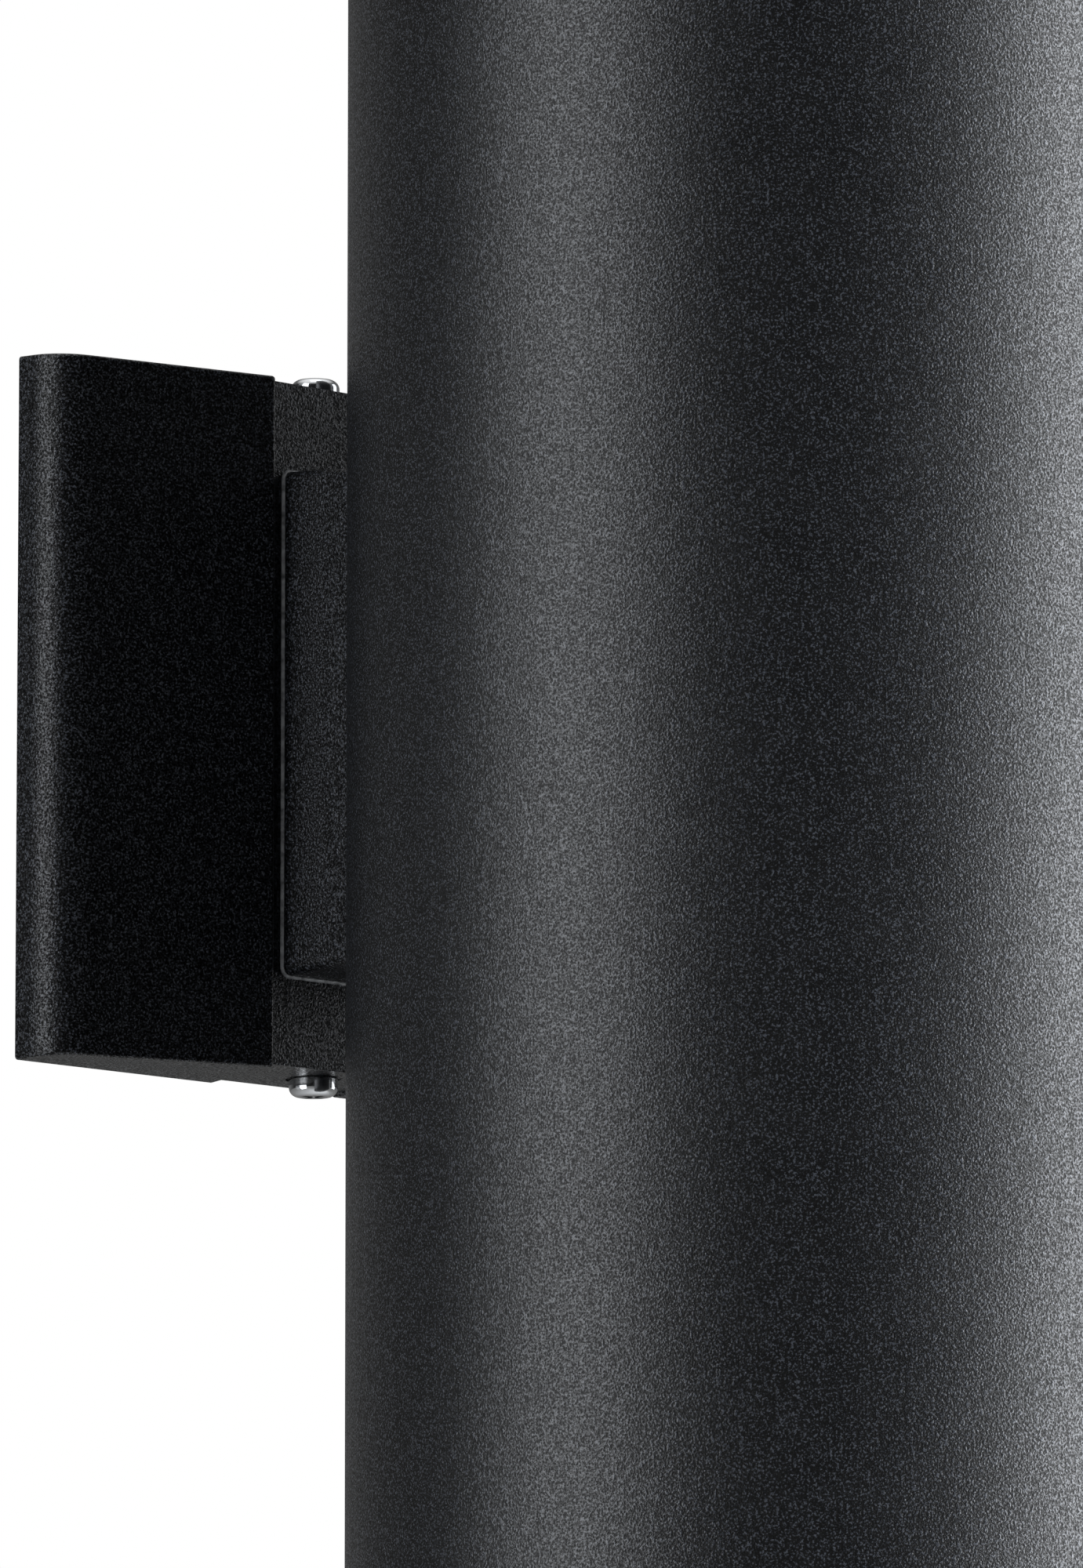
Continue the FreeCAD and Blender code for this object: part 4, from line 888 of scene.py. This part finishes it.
class TUBELIGHT_OT_lamps(bpy.types.Operator):
    """Build lamp caps and burners and finish the lamps"""
    bl_idname = "tubelight.lamps"
    bl_label = "Reflector Lamps"

    def execute(self, context):
        sizes, colours = settings(context)
        dress(aluminised_glass(colours.bowl), *both("lamp_reflector"))
        dress(stippled_glass(), *both("lamp_front"))
        cap_metal, quartz, tungsten = lamp_cap_metal(), fused_quartz(), tungsten_wire()
        coil = coil_tree()
        coil_start, coil_radius, coil_length = 64 * MM, 1.1 * MM, 11 * MM
        for side, sign in SIDES:
            place = inner_end(side + "_lamp_base", sign)
            cap = self.cap(side, sizes)
            cap.transform(place)
            piece_from(cap, side + "_lamp_cap", cap_metal, side + "_lamp", "lamp_base_metal",
                       side + "_lamp_base")
            burner = self.burner(side)
            burner.transform(place)
            piece_from(burner, side + "_lamp_burner", quartz, side + "_lamp", "capsule_glass",
                       side + "_lamp_capsule")
            wire = grown(side + " filament", [(0, 0, coil_start)], coil,
                         {"Coil Radius": coil_radius, "Pitch": sizes.filament_pitch,
                          "Wire Radius": sizes.filament_wire, "Length": coil_length, "Material": tungsten})
            wire.transform(place)
            shade_by_angle(wire, 80)
            piece_from(wire, side + "_lamp_filament", tungsten, side + "_lamp", "lamp_base_metal")
        return {"FINISHED"}

    def cap(self, side, sizes):
        """Lamp cap: solder tip, insulator cone, rolled thread and the skirt over the neck.
        Rows are radius, height from the tip and swell of the thread, in millimetres."""
        thread_radius, first, last, steps = 12.6, 5.4, 26.0, 110
        fade_in, fade_out, skirt_top, around = 1.8, 3.0, 35.0, 72
        rows = [(0, 0, 0), (3.4, 0.05, 0), (4.3, 0.7, 0), (4.3, 1.2, 0), (6.5, 3.0, 0), (9.0, 5.1, 0),
                (11.6, 5.3, 0)]
        for k in range(steps + 1):
            height = first + (last - first) * k / steps
            fade = min(1.0, (height - first) / fade_in, (last - height) / fade_out)
            rows.append((thread_radius, height, sizes.lamp_swell / MM * max(fade, 0.0)))
        rows += [(thread_radius, 27.0, 0), (17.0, 30.2, 0), (17.6, 30.5, 0), (17.9, 31.0, 0), (18.0, 31.6, 0),
                 (18.0, 34.9, 0), (17.9, skirt_top, 0), (0, skirt_top, 0)]
        mesh = lathe(side + "_lamp_cap", in_metres(rows), around, sizes.lamp_pitch)
        heights = mesh.attributes.new("cap_height", "FLOAT", "POINT")
        heights.data.foreach_set("value", [vertex.co.z / (skirt_top * MM) for vertex in mesh.vertices])
        shade_by_angle(mesh, 38)
        return mesh

    def burner(self, side):
        """Quartz tube on its pinched foot, hollow, with a drawn tip. Rows are as in the cap."""
        bulb, bore, shoulder, wall, around = 5.5, 4.6, 76.8, 0.25, 40
        foot, first, last, steps = 3.3, 15, 75, 5
        outside = [(0, 48.25, 0), (3.0, 48.3, 0), (foot, 48.6, 0), (foot, 55.8, 0), (3.9, 57.0, 0),
                   (5.0, 58.2, 0), (bulb, 59.6, 0), (bulb, shoulder, 0)]
        outside += arc_rows(0, shoulder, bulb, first, last, steps) + [(0, 82.25, 0)]
        inside = [(0, 81.2, 0)]
        inside += [(r - wall, z, swell) for r, z, swell in arc_rows(0, shoulder, bore, last, first, steps)]
        inside += [(4.5, shoulder, 0), (4.5, 60.0, 0), (3.6, 58.4, 0), (0, 58.0, 0)]
        meshes = [lathe(side + " quartz", in_metres(rows), around) for rows in (outside, inside)]
        meshes[1].flip_normals()
        mesh = joined(side + "_lamp_burner", [], meshes)
        shade_by_angle(mesh, 50)
        return mesh


class TUBELIGHT_OT_wiring(bpy.types.Operator):
    """Finish leads, connectors and bushings"""
    bl_idname = "tubelight.wiring"
    bl_label = "Wiring"

    def execute(self, context):
        _, colours = settings(context)
        dress(moulded_plastic("Black extruded PVC", colours.live, 0.38, 0.5), "black_leads")
        dress(moulded_plastic("White extruded PVC", colours.neutral, 0.38, 0.5), "white_leads")
        dress(moulded_plastic("Green extruded PVC", colours.earth, 0.38, 0.5), "ground_lead")
        dress(moulded_plastic("Moulded polypropylene", colours.connector, 0.42, 0.3), "wire_connectors")
        dress(moulded_plastic("Moulded nylon", colours.nylon, 0.46, 0.4), "canopy_bushing", "tube_bushing")
        return {"FINISHED"}


def toward(angle):
    """Level direction at an angle from the camera's side, positive to the picture's right."""
    azimuth = bpy.context.scene.tube_light_studio.azimuth
    facing = Vector((math.sin(azimuth), -math.cos(azimuth), 0))
    right = Vector((math.cos(azimuth), math.sin(azimuth), 0))
    return facing * math.cos(angle) + right * math.sin(angle)


# name, degrees to the picture's right of the camera, distance, height, width, tallness (m), brightness
SOFT_BOXES = (
    ("Left soft box", -58.5, 0.5, 0.03, 0.29, 0.9, 2.35),
    ("Left fill", -68, 1.5, 0.1, 1.4, 2.2, 0.2),
    ("Right soft box", 70, 1.2, 0.05, 0.8, 2.0, 7.3),
    ("Right fill", 45, 1.5, 0.1, 0.5, 2.2, 1.5),
    ("Rear soft box", 114, 1.2, 0.2, 0.5, 1.2, 1.6),
    ("Overhead soft box", 0, 0.2, 1.5, 0.8, 0.8, 1.0),
)


def soft_box(name, degrees, distance, height, width, tall, brightness):
    """A soft box aimed at the middle of the light. Brightness 1 is a white surface."""
    lamp = bpy.data.lights.new(name, "AREA")
    lamp.shape = "RECTANGLE"
    lamp.size, lamp.size_y = width, tall
    lamp.energy = brightness * math.pi * width * tall
    lamp.color = (0.94, 0.965, 1.0)
    box = placed(name, lamp)
    middle = Vector((0, -0.1, 0))
    box.location = middle + toward(math.radians(degrees)) * distance + Vector((0, 0, height))
    box.rotation_euler = (middle - box.location).to_track_quat("-Z", "Y").to_euler()
    box.visible_camera = False


class TUBELIGHT_OT_studio(bpy.types.Operator):
    """Set up floor, world, lamps and camera"""
    bl_idname = "tubelight.studio"
    bl_label = "Studio"

    def execute(self, context):
        scene, studio = context.scene, context.scene.tube_light_studio
        scene.view_settings.view_transform = "Standard"
        self.floor(studio)
        self.world(scene)
        for row in SOFT_BOXES:
            soft_box(*row)
        self.camera(scene, studio)
        return {"FINISHED"}

    def floor(self, studio):
        """Pale matt floor that lights and is reflected. The camera sees the white world through it,
        because the photograph shows no floor and the light is looked at from below too."""
        radius, segments = 7.0, 96
        solid = bmesh.new()
        bmesh.ops.create_circle(solid, cap_ends=True, radius=radius, segments=segments)
        mesh = mesh_of(solid, "Studio floor")
        mesh.transform(Matrix.Translation((0, 0, -studio.floor_drop)))
        material, tree, place = begin("Matt studio paper", linear("dcdcdb"), 0.0, 0.95)
        fibre = noise(tree, place, 90.0, 2.0)
        tint = ramp(tree, fibre, (0.0, linear("dadad9")), (1.0, linear("e0e0df")))
        mesh.materials.append(laid(material, Base_Color=tint))
        floor = placed("Studio floor", mesh)
        floor.visible_camera = False
        floor.visible_transmission = False

    def world(self, scene):
        """White to the camera and through glass, and an even fill to matt surfaces. Reflections see
        a white ceiling, a dim white sweep behind the light and a dark room on the camera's side."""
        white, fill, room_dark, sweep_pale = 1.0, 0.25, 0.01, 0.16
        world = bpy.data.worlds.new("Studio")
        scene.world = world
        world.use_nodes = True
        tree = world.node_tree
        tree.nodes.clear()
        direction = add(tree, "ShaderNodeTexCoord").outputs["Generated"]
        ahead = add(tree, "ShaderNodeVectorMath", operation="DOT_PRODUCT", values={1: tuple(-toward(0.0))},
                    links={0: direction})
        sweep = add(tree, "ShaderNodeMapRange", interpolation_type="SMOOTHSTEP",
                    values={"To Min": room_dark, "To Max": sweep_pale},
                    links={"Value": ahead.outputs["Value"]})
        split = add(tree, "ShaderNodeSeparateXYZ", links={"Vector": direction})
        ceiling = add(tree, "ShaderNodeMapRange", interpolation_type="SMOOTHSTEP",
                      values={"From Min": 0.5, "From Max": 0.95}, links={"Value": split.outputs["Z"]})
        room = reckoned(tree, "MAXIMUM", sweep.outputs["Result"], ceiling.outputs["Result"])
        path = add(tree, "ShaderNodeLightPath").outputs
        seen = reckoned(tree, "MAXIMUM", path["Is Camera Ray"], path["Is Transmission Ray"])
        lit = add(tree, "ShaderNodeMix", data_type="FLOAT", values={2: fill},
                  links={0: path["Is Glossy Ray"], 3: room})
        level = add(tree, "ShaderNodeMix", data_type="FLOAT", values={3: white},
                    links={0: seen, 2: lit.outputs[0]})
        shine = add(tree, "ShaderNodeBackground", values={"Color": (1, 1, 1, 1)},
                    links={"Strength": level.outputs[0]})
        add(tree, "ShaderNodeOutputWorld", links={"Surface": shine.outputs["Background"]})

    def camera(self, scene, studio):
        """Long lens from the front left and a little below."""
        lens = bpy.data.cameras.new("Camera")
        lens.sensor_fit = "AUTO"
        lens.sensor_width = 36.0
        lens.lens = studio.lens
        lens.clip_start, lens.clip_end = 0.05, 40.0
        camera = placed("Camera", lens)
        azimuth, elevation = studio.azimuth, studio.elevation
        back = Vector((math.sin(azimuth) * math.cos(elevation), -math.cos(azimuth) * math.cos(elevation),
                       math.sin(elevation)))
        right = Vector((math.cos(azimuth), math.sin(azimuth), 0))
        aim = right * studio.aim_right + Vector((0, 0, studio.aim_height))
        camera.location = aim + back * studio.distance
        camera.rotation_euler = (-back).to_track_quat("-Z", "Y").to_euler()
        scene.camera = camera


class TUBELIGHT_PT_panel(bpy.types.Panel):
    """Lists the pieces and what can be changed on them"""
    bl_idname = "TUBELIGHT_PT_panel"
    bl_label = "Tube Wall Light"
    bl_space_type = "VIEW_3D"
    bl_region_type = "UI"
    bl_category = "Tube Light"

    def draw(self, context):
        column = self.layout.column()
        for operator in OPERATORS:
            column.operator(operator.bl_idname)
        for name in GROUPS:
            group = getattr(context.scene, name)
            box = self.layout.box()
            for key in group.__annotations__:
                box.prop(group, key)


OPERATORS = (
    TUBELIGHT_OT_castings,
    TUBELIGHT_OT_tube,
    TUBELIGHT_OT_gaskets,
    TUBELIGHT_OT_canopy_screws,
    TUBELIGHT_OT_inner_screws,
    TUBELIGHT_OT_metalwork,
    TUBELIGHT_OT_trims,
    TUBELIGHT_OT_sockets,
    TUBELIGHT_OT_lamps,
    TUBELIGHT_OT_wiring,
    TUBELIGHT_OT_studio,
)
GROUPS = {
    "tube_light_sizes": TubeLightSizes,
    "tube_light_colours": TubeLightColours,
    "tube_light_studio": TubeLightStudio,
}
CLASSES = (*GROUPS.values(), *OPERATORS, TUBELIGHT_PT_panel)


def register():
    for kind in CLASSES:
        bpy.utils.register_class(kind)
    for name, group in GROUPS.items():
        setattr(bpy.types.Scene, name, bpy.props.PointerProperty(type=group))


def unregister():
    for name in GROUPS:
        delattr(bpy.types.Scene, name)
    for kind in reversed(CLASSES):
        bpy.utils.unregister_class(kind)


def main():
    register()
    for operator in OPERATORS:
        area, name = operator.bl_idname.split(".")
        getattr(getattr(bpy.ops, area), name)()


if __name__ == "__main__":
    main()
